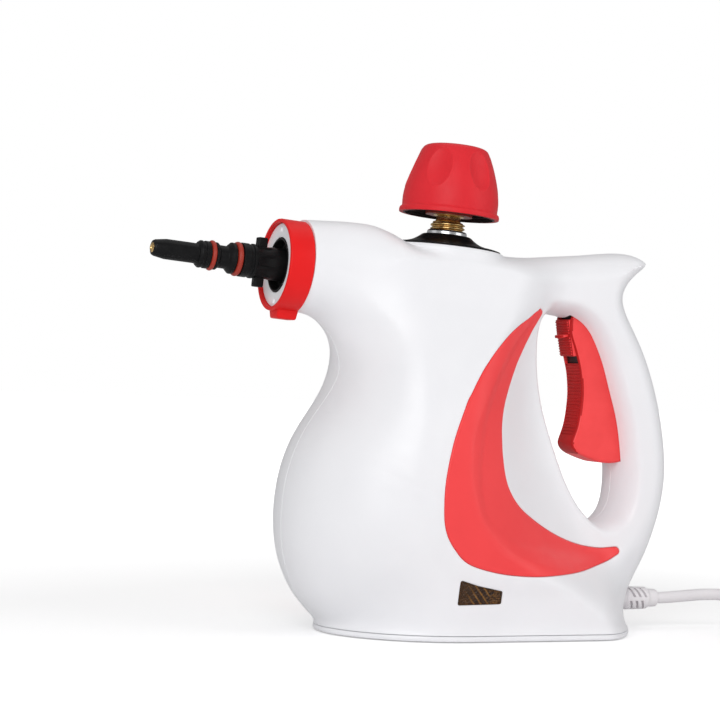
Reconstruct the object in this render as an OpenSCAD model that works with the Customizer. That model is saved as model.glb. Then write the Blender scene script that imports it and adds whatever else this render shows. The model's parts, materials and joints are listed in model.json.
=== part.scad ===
// Hand-held pressurised steam cleaner with its inner parts, cord and plug.
// Frame: +Z up, rest plane at Z = 0, origin near the middle of the base footprint.
// The nozzle points along -X, the handle is at +X, the left flank faces -Y.

/* [Body shell] */
// Wall thickness of the moulded housing halves
wall = 3; // [2.9:0.1:3.2]
// Half thickness of the handle
handle_half = 20; // [18:0.5:21]
// Gap left between neighbouring mouldings
gap = 0.25; // [0.2:0.05:0.4]
// Height of the lip of the base plate above the rest plane
lip_top = 3.4; // [3:0.1:4]
// Angular steps of the shell surface
shell_steps = 72; // [66:6:78]
// Radial steps of the shell surface
shell_rings = 10; // [9:1:12]

/* [Nozzle and filler] */
// Tilt of the nozzle above horizontal, and of the filler neck behind vertical
tilt = 4.6; // [4:0.1:5]
// Distance from the crossing of the axes to the front of the lock ring
ring_front = 93.5; // [93:0.1:94]
// Outer radius of the lock ring
ring_r = 23.4; // [23.2:0.1:23.8]
// Radius of the jet spigot
jet_r = 5.1; // [4.8:0.1:5.3]
// Distance from the crossing of the axes to the tip of the jet
jet_tip = 159; // [157:0.5:161]
// Thread pitch of the pressure cap
cap_pitch = 2; // [2:0.5:2]
// Crest radius of the cap thread
cap_thread_r = 9; // [8.8:0.1:9.1]
// Height of the rim of the cap above the crossing of the axes
cap_rim = 36.3; // [36:0.1:37]

/* [Boiler] */
// Outer radius of the boiler pot
boiler_r = 40; // [38:0.5:40]
// Wall of the boiler
boiler_wall = 3; // [2.9:0.1:3.2]
// Number of flange bolts
flange_bolts = 6; // [6:1:6]

/* [Trigger] */
// Width of the trigger
trigger_w = 18; // [16:0.5:18]
// Radius of the trigger pin
pin_r = 2; // [1.8:0.1:2.2]
// Pitch of the grip ribs on the trigger
rib_pitch = 2; // [1.8:0.1:2.4]

/* [Power cord] */
// Radius of the power cord
cord_r = 3.15; // [3:0.05:3.4]
// Radius of a plug pin
plug_pin_r = 2.4; // [2.35:0.05:2.45]
// Distance between the plug pins
plug_pitch = 19; // [18.5:0.1:19.5]

/* [Hidden] */
// Crossing of the nozzle axis and the filler axis
cross_x = -27.8;
cross_z = 178.5;
// Trigger pivot
pivot_x = 50;
pivot_z = 176;
pin_length = 30;
round_fn = 64;
cord_z = 16.3;                           // height of the cord axis at the body
cord_bore_r = cord_r + 0.05;

white = [0.93, 0.93, 0.95];
red = [0.85, 0.13, 0.14];
dark_red = [0.72, 0.07, 0.08];
black = [0.09, 0.09, 0.10];
brass = [0.72, 0.53, 0.24];
steel = [0.72, 0.73, 0.75];
aluminium = [0.78, 0.79, 0.80];
rubber = [0.12, 0.12, 0.12];
o_ring_red = [0.75, 0.12, 0.1];
gasket_red = [0.75, 0.2, 0.15];
lens_amber = [0.55, 0.3, 0.08, 0.8];
lamp_orange = [0.9, 0.5, 0.2];
ceramic = [0.75, 0.72, 0.66];
wire_blue = [0.2, 0.3, 0.7];
hose_grey = [0.85, 0.85, 0.8];

// ---- frames and placing ----------------------------------------------------
// Filler frame: local +Z runs up the filler neck, local -X runs along the nozzle,
// and both pass through the crossing point.
module filler_frame() {
  translate([cross_x, 0, cross_z]) rotate([0, tilt, 0]) children();
}
// Nozzle frame: local +Z runs forward along the nozzle, local +X is up.
module nozzle_frame() {
  filler_frame() rotate([0, -90, 0]) children();
}
// Local +Z runs rearward along the cord axis, from x on.
module cord_frame(x) {
  translate([x, 0, cord_z]) rotate([0, 90, 0]) children();
}
// Turns local +Z towards the flank of the given side, -1 left or +1 right.
module outward(side) {
  rotate([-side * 90, 0, 0]) children();
}
// Children at each [x, y] place and at its mirror image across the middle plane
module at_pairs(places, z) {
  for (p = places) for (s = [-1, 1]) translate([p[0], s * p[1], z]) children();
}

// ---- shared solids ---------------------------------------------------------
// Cylinder that stands on height z
module rod(z, r, h, fn = round_fn) {
  translate([0, 0, z]) cylinder(r = r, h = h, $fn = fn);
}
module ring(outer_r, inner_r, h, fn = 64) {
  difference() {
    cylinder(r = outer_r, h = h, $fn = fn);
    rod(-1, inner_r, h + 2, fn);
  }
}
// Plate of an [x, z] profile, centred on the middle plane
module middle_plate(width) {
  rotate([90, 0, 0]) translate([0, 0, -width / 2]) linear_extrude(height = width) children();
}
// Screw along +Z with a cross slot; the underside of the head is at Z = 0.
module pan_screw(shank_r, length, head_r, head_h) {
  difference() {
    union() {
      cylinder(r = shank_r, h = length, $fn = 32);
      rod(-head_h, head_r, head_h + 0.01, 32);
    }
    for (a = [0, 90])
      rotate([0, 0, a])
        translate([-head_r * 0.6, -0.35, -head_h - 1])
          cube([head_r * 1.2, 0.7, 1 + head_h * 0.5]);
  }
}

// ---- polyhedron faces ------------------------------------------------------
function quad(a, b, c, d) = [[a, b, c], [a, c, d]];
function flipped(faces) = [for (f = faces) [f[2], f[1], f[0]]];
// Bands between closed rings of count points each
function band_faces(rings, count) = [
  for (i = [0 : rings - 2]) for (k = [0 : count - 1])
    let (a = i * count + k, b = i * count + (k + 1) % count)
      each quad(a, b, b + count, a + count)];
// Bands and the two flat ends of a swept tube
function tube_faces(rings, count) = let (last = (rings - 1) * count) concat(
  band_faces(rings, count),
  [for (k = [1 : count - 2]) each [[0, k + 1, k], [last, last + k, last + k + 1]]]);

// Coil spring of round wire, swept along a helix
module coil(turns, r, wire_r, pitch, steps, sides) {
  count = round(turns * steps);
  points = [for (i = [0 : count]) for (k = [0 : sides - 1])
    let (a = 360 * i / steps, b = 360 * k / sides, reach = r + wire_r * cos(b))
      [reach * cos(a), reach * sin(a), pitch * i / steps + wire_r * sin(b)]];
  polyhedron(points = points, faces = flipped(tube_faces(count + 1, sides)));
}

// ---- curves and lookups ----------------------------------------------------
function unit(v) = v / norm(v);
function mix(a, b, t) = a * (1 - t) + b * t;
function clamp(value, low, high) = min(max(value, low), high);
function smooth_step(from, to, value) =
  let (t = clamp((value - from) / (to - from), 0, 1)) t * t * (3 - 2 * t);
// Quarter-circle rise from 0 to 1
function arch(s) = let (t = 1 - clamp(s, 0, 1)) sqrt(1 - t * t);
// Catmull-Rom point between b and c
function spline(a, b, c, d, t) = 0.5 * (2 * b + (c - a) * t
  + (2 * a - 5 * b + 4 * c - d) * t * t + (3 * b - a - 3 * c + d) * t * t * t);
// Closed curve with n points for each given point
function smooth_loop(points, n) = let (m = len(points)) [
  for (i = [0 : m - 1]) for (k = [0 : n - 1])
    spline(points[(i + m - 1) % m], points[i], points[(i + 1) % m], points[(i + 2) % m], k / n)];
// Point and direction of an open curve at share s of its spans
function curve_at(points, s) =
  let (m = len(points) - 1, q = clamp(s, 0, 1) * m, i = min(floor(q), m - 1))
    spline(points[max(i - 1, 0)], points[i], points[i + 1], points[min(i + 2, m)], q - i);
function curve_dir(points, s) = unit(curve_at(points, s + 0.01) - curve_at(points, s - 0.01));
// Smooth lookup of z in a table of [z, value]
function row_at(z, table) =
  min(len([for (i = [1 : len(table) - 1]) if (table[i][0] <= z) i]), len(table) - 2);
function row_slope(table, i) = let (a = max(i - 1, 0), b = min(i + 1, len(table) - 1))
  (table[b][1] - table[a][1]) / (table[b][0] - table[a][0]);
function lookup_smooth(height, table) = let (
    z = clamp(height, table[0][0], table[len(table) - 1][0]),
    i = row_at(z, table),
    h = table[i + 1][0] - table[i][0],
    u = (z - table[i][0]) / h)
  (2 * u * u * u - 3 * u * u + 1) * table[i][1]
  + (u * u * u - 2 * u * u + u) * h * row_slope(table, i)
  + (3 * u * u - 2 * u * u * u) * table[i + 1][1]
  + (u * u * u - u * u) * h * row_slope(table, i + 1);

// ---- form of the body ------------------------------------------------------
// Side outline: x, z, width of the edge rounding
outline = [
  [-110, 209.2, 23], [-97, 209.4, 23.5], [-83, 209.5, 24], [-70, 208.6, 24], [-60, 205.2, 20],
  [-51, 200.6, 12], [-38, 199.6, 10], [-22, 198.4, 10], [-6, 197.2, 10], [8, 196.3, 12],
  [20, 196.4, 14], [34, 197.6, 15], [50, 199, 15], [64, 200.6, 14], [74, 201.4, 13],
  [82.5, 200.6, 11], [88, 197.4, 9], [87, 193, 9], [81.8, 188.2, 10], [77.4, 182.5, 12],
  [75.9, 176.5, 13], [78.5, 169.5, 14], [83.4, 161, 14], [88.9, 151, 14], [93.8, 140, 14],
  [98, 128, 14], [101.3, 116, 14], [103.7, 104, 14], [105.2, 92, 14], [105.4, 80, 14],
  [103.9, 67, 15], [100.8, 54, 17], [96.3, 41, 20], [90.7, 29, 25], [85.4, 18, 31],
  [82.5, 10, 36], [82.6, 3, 38], [82.6, -6, 38], [82.6, -16, 38], [68, -16, 38],
  [53, -16, 38], [38, -16, 38], [22, -16, 38], [6, -16, 60], [-10, -16, 60],
  [-25, -16, 60], [-40, -16, 60], [-55, -16, 60], [-71, -16, 60], [-86, -16, 60],
  [-86, -6, 60], [-87.2, 3, 60], [-95, 11, 60], [-101.8, 19, 60], [-106.6, 28, 60],
  [-110.1, 38, 60], [-111.8, 48, 60], [-112.3, 58, 60], [-111.8, 68, 60], [-110.4, 78, 60],
  [-107.8, 88, 58], [-103.8, 98, 55], [-98.6, 107, 50], [-92.8, 115.5, 44], [-87.2, 124, 37],
  [-83.8, 132, 31], [-83.9, 140, 27], [-87, 148, 25], [-92.2, 155, 24], [-99.5, 160.4, 23],
  [-110, 162.8, 23]];
// The edge is not rounded below the body, between these entries of the outline
open_from = 38;
open_to = 49;
// Handle opening at the middle plane: x, z
opening = [[24.5, 163.5], [30, 167], [38, 166.8], [46, 164.8], [54.5, 158], [62, 144],
  [67.5, 128], [72.5, 112], [75.5, 95], [76.6, 80], [75, 68], [70.5, 59.5], [64, 56.5],
  [58, 58], [52.5, 63.5], [46.9, 71], [40.3, 82.6], [34.6, 96], [30.1, 107.6], [25.6, 121],
  [23, 134.3], [21.9, 147.7], [22.3, 157]];
// The body falls to the thickness of the handle between two x: z, x
fall_start = [[-20, 60], [4, 50], [20, 28], [35, -2], [50, -26], [75, -38], [100, -38],
  [125, -32], [150, -20], [167, -8], [185, 0], [210, 0]];
fall_end = [[-20, 120], [4, 112], [20, 98], [35, 80], [50, 62], [75, 44], [100, 32],
  [125, 26], [150, 26], [167, 30], [185, 40], [210, 44]];
// Half width of the body: z, half width
half_width = [[-20, 50], [4, 51], [20, 54], [40, 58], [60, 61], [80, 61.5], [100, 60],
  [120, 56], [140, 49], [160, 40.5], [175, 34.5], [190, 32], [210, 32]];
snout_half = 23.3;

edge_refine = 3;
edge_points = smooth_loop(outline, edge_refine);
edge_count = len(edge_points);
// Rounded stretches of the edge: x, z, their changes, rounding width, its change
edge_spans = [for (i = [0 : edge_count - 1])
  if (i < open_from * edge_refine || i >= open_to * edge_refine)
    let (a = edge_points[i], b = edge_points[(i + 1) % edge_count])
      [a[0], a[1], b[0] - a[0], b[1] - a[1], a[2], b[2] - a[2]]];
function span_share(x, z, s) =
  clamp(((x - s[0]) * s[2] + (z - s[1]) * s[3]) / (s[2] * s[2] + s[3] * s[3]), 0, 1);
// Distance to the edge, and the rounding width at the nearest point
function near_edge(x, z) = let (
    squares = [for (s = edge_spans) let (
        t = span_share(x, z, s),
        dx = x - s[0] - t * s[2],
        dz = z - s[1] - t * s[3]) dx * dx + dz * dz],
    least = min(squares),
    span = edge_spans[search(least, squares)[0]])
  [sqrt(least), span[4] + span_share(x, z, span) * span[5]];
// Half thickness before the edge rounding
function plateau(x, z) = let (
    body = 1 - smooth_step(lookup_smooth(z, fall_start), lookup_smooth(z, fall_end), x),
    snout = (1 - smooth_step(-96, -50, x)) * smooth_step(128, 158, z))
  (handle_half + (lookup_smooth(z, half_width) - handle_half) * body) * (1 - snout)
  + snout_half * snout;
// Half thickness of the body, drawn in by depth
function half_at(x, z, depth = 0) = let (edge = near_edge(x, z))
  edge[0] <= depth ? 0
    : (plateau(x, z) - depth) * arch((edge[0] - depth) / (edge[1] - depth));

// Rays from the hub to points of the outline, so that every stretch gets its share
hub = [-24, 150];
function edge_rays(n) = [for (i = [0 : n - 1])
  let (p = edge_points[round(i * edge_count / n) % edge_count]) [p[0] - hub[0], p[1] - hub[1]]];
// Share of the ray at which it is depth away from the edge, found by halving
function inset_at(ray, depth, low = 0.8, high = 1, left = 9) =
  let (t = (low + high) / 2, p = hub + t * ray)
    left == 0 ? t
      : near_edge(p[0], p[1])[0] < depth ? inset_at(ray, depth, low, t, left - 1)
      : inset_at(ray, depth, t, high, left - 1);

// One half of the body as a closed solid. With a depth it is the cavity,
// which then reaches 2 past the middle plane.
module body_half(side, depth, steps, rings) {
  drawn_in = depth > 0;
  flat_y = drawn_in ? -side * 2 : 0;
  rays = [for (r = edge_rays(steps)) r * (drawn_in ? inset_at(r, depth) : 1)];
  skin = [for (j = [0 : rings - 1]) for (r = rays)
    let (p = hub + (1 - pow(j / rings, 1.8)) * r)
      [p[0], j == 0 ? 0 : side * half_at(p[0], p[1], depth), p[1]]];
  tip = [[hub[0], side * half_at(hub[0], hub[1], depth), hub[1]]];
  rim = [for (r = rays) [hub[0] + r[0], flat_y, hub[1] + r[1]]];
  centre = [[hub[0], flat_y, hub[1]]];
  tip_at = steps * rings;
  rim_at = drawn_in ? tip_at + 1 : 0;
  centre_at = tip_at + 1 + (drawn_in ? steps : 0);
  last = (rings - 1) * steps;
  faces = concat(
    band_faces(rings, steps),
    [for (i = [0 : steps - 1]) [last + i, last + (i + 1) % steps, tip_at]],
    drawn_in ? [for (i = [0 : steps - 1]) let (k = (i + 1) % steps)
      each quad(rim_at + i, rim_at + k, k, i)] : [],
    [for (i = [0 : steps - 1]) [centre_at, rim_at + (i + 1) % steps, rim_at + i]]);
  polyhedron(points = concat(skin, tip, drawn_in ? rim : [], centre),
    faces = side < 0 ? faces : flipped(faces));
}
// Patch of the flank over a grid of [x, z] stations, from outside the skin to inside it
module skin_patch(grid, side, outside, inside) {
  rows = len(grid);
  cols = len(grid[0]);
  outer = [for (row = grid) for (p = row)
    [p[0], side * (half_at(p[0], p[1]) + outside), p[1]]];
  inner = [for (p = outer) [p[0], p[1] - side * (outside + inside), p[2]]];
  o = rows * cols;
  outer_faces = [for (i = [0 : rows - 2]) for (j = [0 : cols - 2]) let (a = i * cols + j)
    each quad(a, a + 1, a + cols + 1, a + cols)];
  border = concat(
    [for (j = [0 : cols - 2]) [j + 1, j]],
    [for (i = [0 : rows - 2]) [i * cols, (i + 1) * cols]],
    [for (j = [0 : cols - 2]) [(rows - 1) * cols + j, (rows - 1) * cols + j + 1]],
    [for (i = [0 : rows - 2]) [(i + 1) * cols + cols - 1, i * cols + cols - 1]]);
  faces = concat(
    outer_faces,
    [for (f = outer_faces) [f[2] + o, f[1] + o, f[0] + o]],
    [for (e = border) each quad(e[0], e[1], e[1] + o, e[0] + o)]);
  polyhedron(points = concat(outer, inner), faces = side < 0 ? faces : flipped(faces));
}

// ---- inlay and lens on the flank -------------------------------------------
// Front and lower edge of the inlay, from the upper tip down: x, z
inlay_front = [[20.5, 168.8], [14, 166.4], [5.2, 161.9], [-11.4, 153.1], [-26.4, 137.6],
  [-38.1, 119.4], [-45.7, 101.1], [-50, 82.3], [-50.5, 66.6], [-48.6, 56.2], [-43.3, 47.7],
  [-34.7, 40.1], [-19.7, 35.6], [-2.1, 33.5], [18.4, 33.5], [42.3, 34.5], [62.2, 37.8],
  [71.5, 42.2]];
// Rear and upper edge of the inlay, from the upper tip down: x, z
inlay_rear = [[21.5, 166.6], [18.5, 162.5], [13.5, 157], [5.8, 147], [-2.8, 132],
  [-10.5, 115.7], [-13.2, 103.2], [-13.2, 90.2], [-9.7, 78.6], [-1.4, 68.9], [12.1, 60.3],
  [28.6, 52.6], [44.5, 47.5], [59.4, 45], [70.5, 44.8]];
inlay_rows = 28;
inlay_cols = 5;
// Stations of the inlay, drawn out by grow beyond its edge
function inlay_grid(grow) = [for (i = [0 : inlay_rows]) let (
    s = i / inlay_rows,
    a = curve_at(inlay_front, s),
    b = curve_at(inlay_rear, s),
    across = (b - a) / max(norm(b - a), 0.01) * grow,
    end = i == 0 ? -1 : i == inlay_rows ? 1 : 0,
    along = curve_dir(inlay_front, s) * end * grow)
  [for (j = [0 : inlay_cols]) mix(a - across, b + across, j / inlay_cols) + along]];

// Corners of the lens: lower front, upper front, upper rear, lower rear
lens_corners = [[-36.9, 19], [-37.1, 31.9], [-13.3, 26.2], [-13.1, 19.4]];
function lens_grid(grow) = [for (i = [0 : 4]) let (
    low = mix(lens_corners[0], lens_corners[3], i / 4),
    high = mix(lens_corners[1], lens_corners[2], i / 4),
    dx = i == 0 ? -grow : i == 4 ? grow : 0)
  [for (j = [0 : 2]) mix(low + [dx, -grow], high + [dx, grow], j / 2)]];

module side_panel(side) {
  skin_patch(inlay_grid(0), side, 0.5, 1.05);
}
module side_panel_left() {
  color(red) side_panel(-1);
}
module side_panel_right() {
  color(red) side_panel(1);
}
module indicator_lens() {
  color(lens_amber) skin_patch(lens_grid(0), -1, 0.2, 2.4);
}
module indicator_lamp() {
  lamp_r = 2.6;
  color(lamp_orange) translate([-25, -47.5, 25]) rotate([90, 0, 0]) union() {
    rod(-8, lamp_r, 10);
    translate([0, 0, 2]) sphere(r = lamp_r, $fn = round_fn);
    for (s = [-1, 1]) translate([s * 1.2, 0, -16]) cylinder(r = 0.35, h = 9, $fn = 16);
  }
}

// ---- housing ---------------------------------------------------------------
// Screw bosses between the halves: x, z
boss_places = [[-97, 66], [-78, 22], [30, 18], [90, 48], [96.5, 122], [70, 189],
  [22, 177.5], [-66, 198.5]];
// Bosses of the base plate screws, and feet: x, distance from the middle plane
base_boss = [[-56, 33], [44, 30]];
foot_places = [[-56, 22], [52, 20]];
head_seat_y = 8;                         // seat of the housing screw heads
// Spigot that carries the lock ring, along the nozzle
spigot_r = 21.3;
spigot_bore_r = 18.6;
spigot_back = 74;
spigot_length = 15;
web_back = 76.2;
web_t = 4.1;
snout_front = web_back + web_t;
flare_centre = [50, 112];                // x, z about which the opening widens

module hole_profile(grow) {
  offset(delta = grow) polygon(smooth_loop(opening, 2));
}
// Cut of the handle opening: straight in the middle, opening out towards the flank
module opening_cut(grow) {
  middle_plate(120) hole_profile(grow);
  for (s = [-1, 1])
    scale([1, s, 1]) translate([flare_centre[0], 0, flare_centre[1]]) rotate([90, 0, 0])
      translate([0, 0, 9]) linear_extrude(height = 14, scale = [1.29, 1.14])
        translate(-flare_centre) hole_profile(grow);
}
// Slot through which the trigger leaves the handle, about the pivot
module trigger_slot() {
  translate([pivot_x, 0, pivot_z]) middle_plate(trigger_w + 1.2)
    polygon([[-6.3, -16], [-6.5, -8], [-6.4, -4.9], [11, -3.8], [15, -18], [22, -32],
      [27, -48], [31, -64], [33.5, -78], [34.5, -92], [22, -92], [20, -60], [4, -18]]);
}
// Block 60 deep on one side of the middle plane
module side_block(side, x, z, length, height) {
  translate([x, side > 0 ? 0 : -60, z]) cube([length, 60, height]);
}
// Bosses, web and pin bearing, which grow from the skin
module housing_inner(side) {
  for (b = boss_places) hull() {
    translate([b[0], 0, b[1]]) outward(side) cylinder(r = 3.6, h = 0.1, $fn = 14);
    translate([b[0], side * 66, b[1]]) outward(side) cylinder(r = 4.4, h = 0.1, $fn = 14);
  }
  for (b = base_boss) hull()
    for (y = [0, 14])
      translate([b[0], side * (b[1] + y), lip_top - 1]) cylinder(r = 4, h = 15, $fn = 14);
  // web between the snout and the spigot
  nozzle_frame() translate([0, 0, web_back]) difference() {
    ring(27, spigot_bore_r, web_t, 48);
    side_block(-side, -30, -1, 60, 8);
  }
  // bearing of the trigger pin
  translate([pivot_x, side * 9.6, pivot_z]) outward(side) hull() {
    cylinder(r = 5, h = 1, $fn = 20);
    cylinder(r = 6, h = 20, $fn = 20);
  }
}
// Round shoulder below the filler trim, notched at the rear
module filler_shoulder(side) {
  intersection() {
    filler_frame() difference() {
      translate([0, 0, 9.2]) ring(29.4, 26.3, 10.9, 72);
      translate([20, -6, 9]) cube([14, 12, 8.4]);
    }
    side_block(side, -80, 150, 100, 80);
  }
}
module ring_spigot(side) {
  intersection() {
    nozzle_frame() translate([0, 0, spigot_back])
      ring(spigot_r, spigot_bore_r, spigot_length, 48);
    side_block(side, -150, 100, 100, 120);
  }
}
module housing_cuts(side) {
  // open underside and flat seat on the base plate
  translate([-150, -80, -40]) cube([300, 160, 40 + lip_top]);
  // front of the snout, around the spigot
  nozzle_frame() {
    translate([0, 0, snout_front]) difference() {
      cylinder(r = 60, h = 60, $fn = 48);
      rod(-1, spigot_r, 9.7, 48);
    }
    rod(70, spigot_bore_r, 40, 48);
  }
  // seat of the filler trim and its hole
  filler_frame() {
    rod(20, 30.5, 30, 48);
    rod(5, 26.4, 30, 48);
  }
  opening_cut(0);
  // pocket of the inlay
  skin_patch(inlay_grid(gap), side, 3, 1.3);
  trigger_slot();
  // path of the cord
  cord_frame(60) cylinder(r = 4.6, h = 60, $fn = 32);
  cord_frame(76.5) cylinder(r = 5.35, h = 24, $fn = 32);
  // trigger pin
  translate([pivot_x, -pin_length / 2 - 0.3, pivot_z]) rotate([-90, 0, 0])
    cylinder(r = pin_r + 0.15, h = pin_length + 0.6, $fn = 32);
  // screw holes: clearance and counterbore on the right, blind on the left
  for (b = boss_places) translate([b[0], 0, b[1]]) outward(side) {
    if (side > 0) {
      rod(-1, 1.8, 60, 12);
      rod(head_seat_y, 3.1, 60, 14);
    }
    else rod(-1, 1.75, 11.5, 12);
  }
  for (b = base_boss) translate([b[0], side * b[1], 0]) cylinder(r = 1.75, h = 15, $fn = 12);
  // lens window on the left flank
  if (side < 0) skin_patch(lens_grid(gap), side, 4, 8);
}
module housing(side) {
  difference() {
    union() {
      difference() {
        body_half(side, 0, shell_steps, shell_rings);
        difference() {
          body_half(side, wall, shell_steps - 6, shell_rings - 1);
          opening_cut(wall);
        }
      }
      intersection() {
        body_half(side, wall / 2, shell_steps, shell_rings);
        housing_inner(side);
      }
      filler_shoulder(side);
      ring_spigot(side);
    }
    housing_cuts(side);
  }
}
module housing_left() {
  color(white) housing(-1);
}
module housing_right() {
  color(white) housing(1);
}
module housing_screws() {
  color(steel) for (b = boss_places)
    translate([b[0], head_seat_y + 0.05, b[1]]) rotate([90, 0, 0]) pan_screw(1.6, 15, 2.9, 2);
}

// ---- base ------------------------------------------------------------------
plan_front = -87.2;
plan_rear = 82.6;
plan_middle = (plan_front + plan_rear) / 2;
plan_steps = 26;
clamp_screws = [[72, 6.5]];              // x, distance from the middle plane
// Boiler posts, on the filler axis
leg_circle_r = 33;
post_top = -139;
post_h = 51;
post_screw_seat = -154;

// Plan outline of the body at height z, drawn out by grow
function plan(z, grow) = let (flank = [for (i = [0 : plan_steps]) let (
      x = plan_front + (plan_rear - plan_front) * (0.5 - 0.5 * cos(180 * i / plan_steps)),
      y = half_at(clamp(x, plan_front + 0.1, plan_rear - 0.2), z) * (1 + grow / 50))
    [(x - plan_middle) * (1 + grow / 85) + plan_middle, max(y, 0.01)]])
  concat(flank, [for (i = [plan_steps - 1 : -1 : 1]) [flank[i][0], -flank[i][1]]]);

// Children on each of the four legs of the boiler
module at_legs(z) {
  for (a = [45 : 90 : 315]) rotate([0, 0, a]) translate([leg_circle_r, 0, z]) children();
}
// Upright rim inside the body, cut free of the bosses and of the cord
module base_rim() {
  difference() {
    translate([0, 0, 2]) linear_extrude(height = 7) polygon(plan(9, -7.2));
    translate([0, 0, 2]) linear_extrude(height = 12) polygon(plan(9, -10.2));
    for (b = base_boss) for (s = [-1, 1])
      translate([b[0], s * (b[1] + 6), lip_top - 0.2]) cube([9.4, 22, 20], center = true);
    for (b = [boss_places[1], boss_places[2]])
      translate([b[0], 0, b[1]]) cube([11, 200, 12], center = true);
    translate([80, 0, 12]) cube([20, 14, 12], center = true);
  }
}
module base_plate() {
  color(white) difference() {
    union() {
      translate([0, 0, 0.6]) linear_extrude(height = lip_top - 0.8) polygon(plan(6, 1.6));
      // round seat in the middle of the underside, level with the feet
      cylinder(r = 14, h = 1.2, $fn = round_fn);
      base_rim();
      // posts below the boiler
      intersection() {
        filler_frame() at_legs(post_top - post_h) cylinder(r = 5, h = post_h, $fn = round_fn);
        translate([-100, -60, 1.5]) cube([200, 120, 80]);
      }
      // seat of the terminal block and of the cord clamp
      translate([34, -12, 2.5]) cube([28, 24, 3]);
      translate([67, -9, 2.5]) cube([10, 18, 9.6]);
    }
    at_pairs(foot_places, -1) cylinder(r = 6.6, h = 2.6, $fn = round_fn);
    at_pairs(base_boss, -1) {
      cylinder(r = 1.9, h = 20, $fn = round_fn);
      cylinder(r = 3.4, h = 2.6, $fn = round_fn);
    }
    filler_frame() at_legs(-200) {
      cylinder(r = 2.1, h = 70, $fn = round_fn);
      cylinder(r = 3.6, h = post_screw_seat + 200, $fn = round_fn);
    }
    cord_frame(50) cylinder(r = cord_bore_r, h = 60, $fn = round_fn);
    at_pairs(clamp_screws, 4) cylinder(r = 1.2, h = 12, $fn = round_fn);
  }
}
module rubber_feet() {
  color(rubber) at_pairs(foot_places, 0) rotate_extrude($fn = round_fn)
    polygon([[0, 0], [5.4, 0], [6.2, 0.5], [6.4, 1.6], [0, 1.6]]);
}
module base_screws() {
  color(steel) at_pairs(base_boss, 1.55) pan_screw(1.6, 11, 3.2, 0.9);
}

// ---- nozzle ----------------------------------------------------------------
// Profiles along the nozzle are [radius, distance forward of the crossing].
spigot_front = spigot_back + spigot_length;
tube_profile = [[2, 46.3], [5, 46.3], [5, 84], [13.9, 84], [13.9, 91.9], [12.4, 91.9],
  [12.4, 86.5], [8.5, 86.5], [8.5, 105.4], [7.7, 105.4], [7.7, 106.6], [8.5, 106.6],
  [8.5, 107.8], [7.7, 107.8], [7.7, 109], [8.5, 109], [8.5, 112.3], [5.7, 112.3],
  [5.7, 115.7], [7.9, 115.7], [7.9, 117.6], [7.1, 118.6], [5.6, 118.9], [5.6, 124.6],
  [7, 125.2], [7, 126.2], [5.1, 126.2], [5.1, 129], [7, 129], [7, 133.6], [6.4, 134.8],
  [jet_r, 135.2], [jet_r, 154.6], [4.3, 157], [3.5, jet_tip - 1], [2.7, jet_tip - 1],
  [2.7, 150], [2, 150]];

module nozzle_bezel() {
  color(white) nozzle_frame() translate([0, 0, spigot_front + 0.05]) difference() {
    union() {
      cylinder(r = 21.2, h = 2.5, $fn = 96);
      rod(-4, 18.4, 4.5, 96);
    }
    rod(-6, 14.1, 12, 96);
    for (a = [0, 180]) rotate([0, 0, a]) translate([16.8, -2, 0.9]) cube([3, 4, 4]);
  }
}
// Lock ring with a block on top and a notch in its front edge
module lock_ring() {
  color(red) nozzle_frame() difference() {
    union() {
      rod(ring_front - 13, ring_r, 13, 96);
      translate([-ring_r - 2.6, -6.5, ring_front - 12.6]) cube([8, 13, 12]);
    }
    rod(ring_front - 20, 21.4, 30, 96);
    translate([ring_r - 1, -2, ring_front - 2.2]) cube([4, 4, 6]);
  }
}
module nozzle_tube() {
  color(black) nozzle_frame() difference() {
    union() {
      rotate_extrude($fn = 96) polygon(tube_profile);
      for (a = [0, 180]) rotate([0, 0, a]) translate([8, -2.6, 98.8]) cube([4.5, 5.2, 7.4]);
      for (a = [45 : 90 : 315])
        rotate([0, 0, a]) translate([8, -0.7, 88]) cube([1.2, 1.4, 16]);
    }
    for (a = [0, 180]) rotate([0, 0, a]) translate([9.6, -1.2, 97]) cube([1.6, 2.4, 7]);
  }
}
module nozzle_tip() {
  bore_r = 0.9;
  color(brass) nozzle_frame() rotate_extrude($fn = 64)
    polygon([[bore_r, 150.1], [2.6, 150.1], [2.6, jet_tip - 0.6], [2, jet_tip],
      [bore_r, jet_tip]]);
}
module o_ring(z, r, section_r) {
  nozzle_frame() translate([0, 0, z])
    rotate_extrude($fn = 64) translate([r, 0]) circle(r = section_r, $fn = 32);
}
module o_ring_front() {
  color(o_ring_red) o_ring(127.6, 6.38, 1.2);
}
module o_ring_rear() {
  color(o_ring_red) o_ring(114, 7.2, 1.45);
}

// ---- filler ----------------------------------------------------------------
// Profiles on the filler axis are [radius, height above the crossing].
neck_r = 10.7;

module filler_trim() {
  color(black) filler_frame() rotate_extrude($fn = 96)
    polygon([[11.1, 20.1], [24.6, 20.1], [24.6, 17.6], [26.2, 17.6], [26.2, 20.1],
      [28.6, 20.1], [28.6, 21.6], [28, 22.3], [22, 22.9], [17, 24.1], [13.6, 26],
      [12.6, 27], [11.6, 27], [11.1, 26.4]]);
}
module filler_neck() {
  color(steel) filler_frame() difference() {
    union() {
      rod(-34, neck_r, 62.9, 96);
      translate([0, 0, 28.9]) cylinder(r1 = neck_r, r2 = 10.1, h = 0.6, $fn = 96);
      rod(-21.9, 15, 5, 6);
    }
    rod(-36, 9.3, 70, 96);
  }
}
module neck_seal() {
  color(rubber) filler_frame() translate([0, 0, 16.6]) ring(12.9, neck_r + 0.05, 3.4);
}

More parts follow.
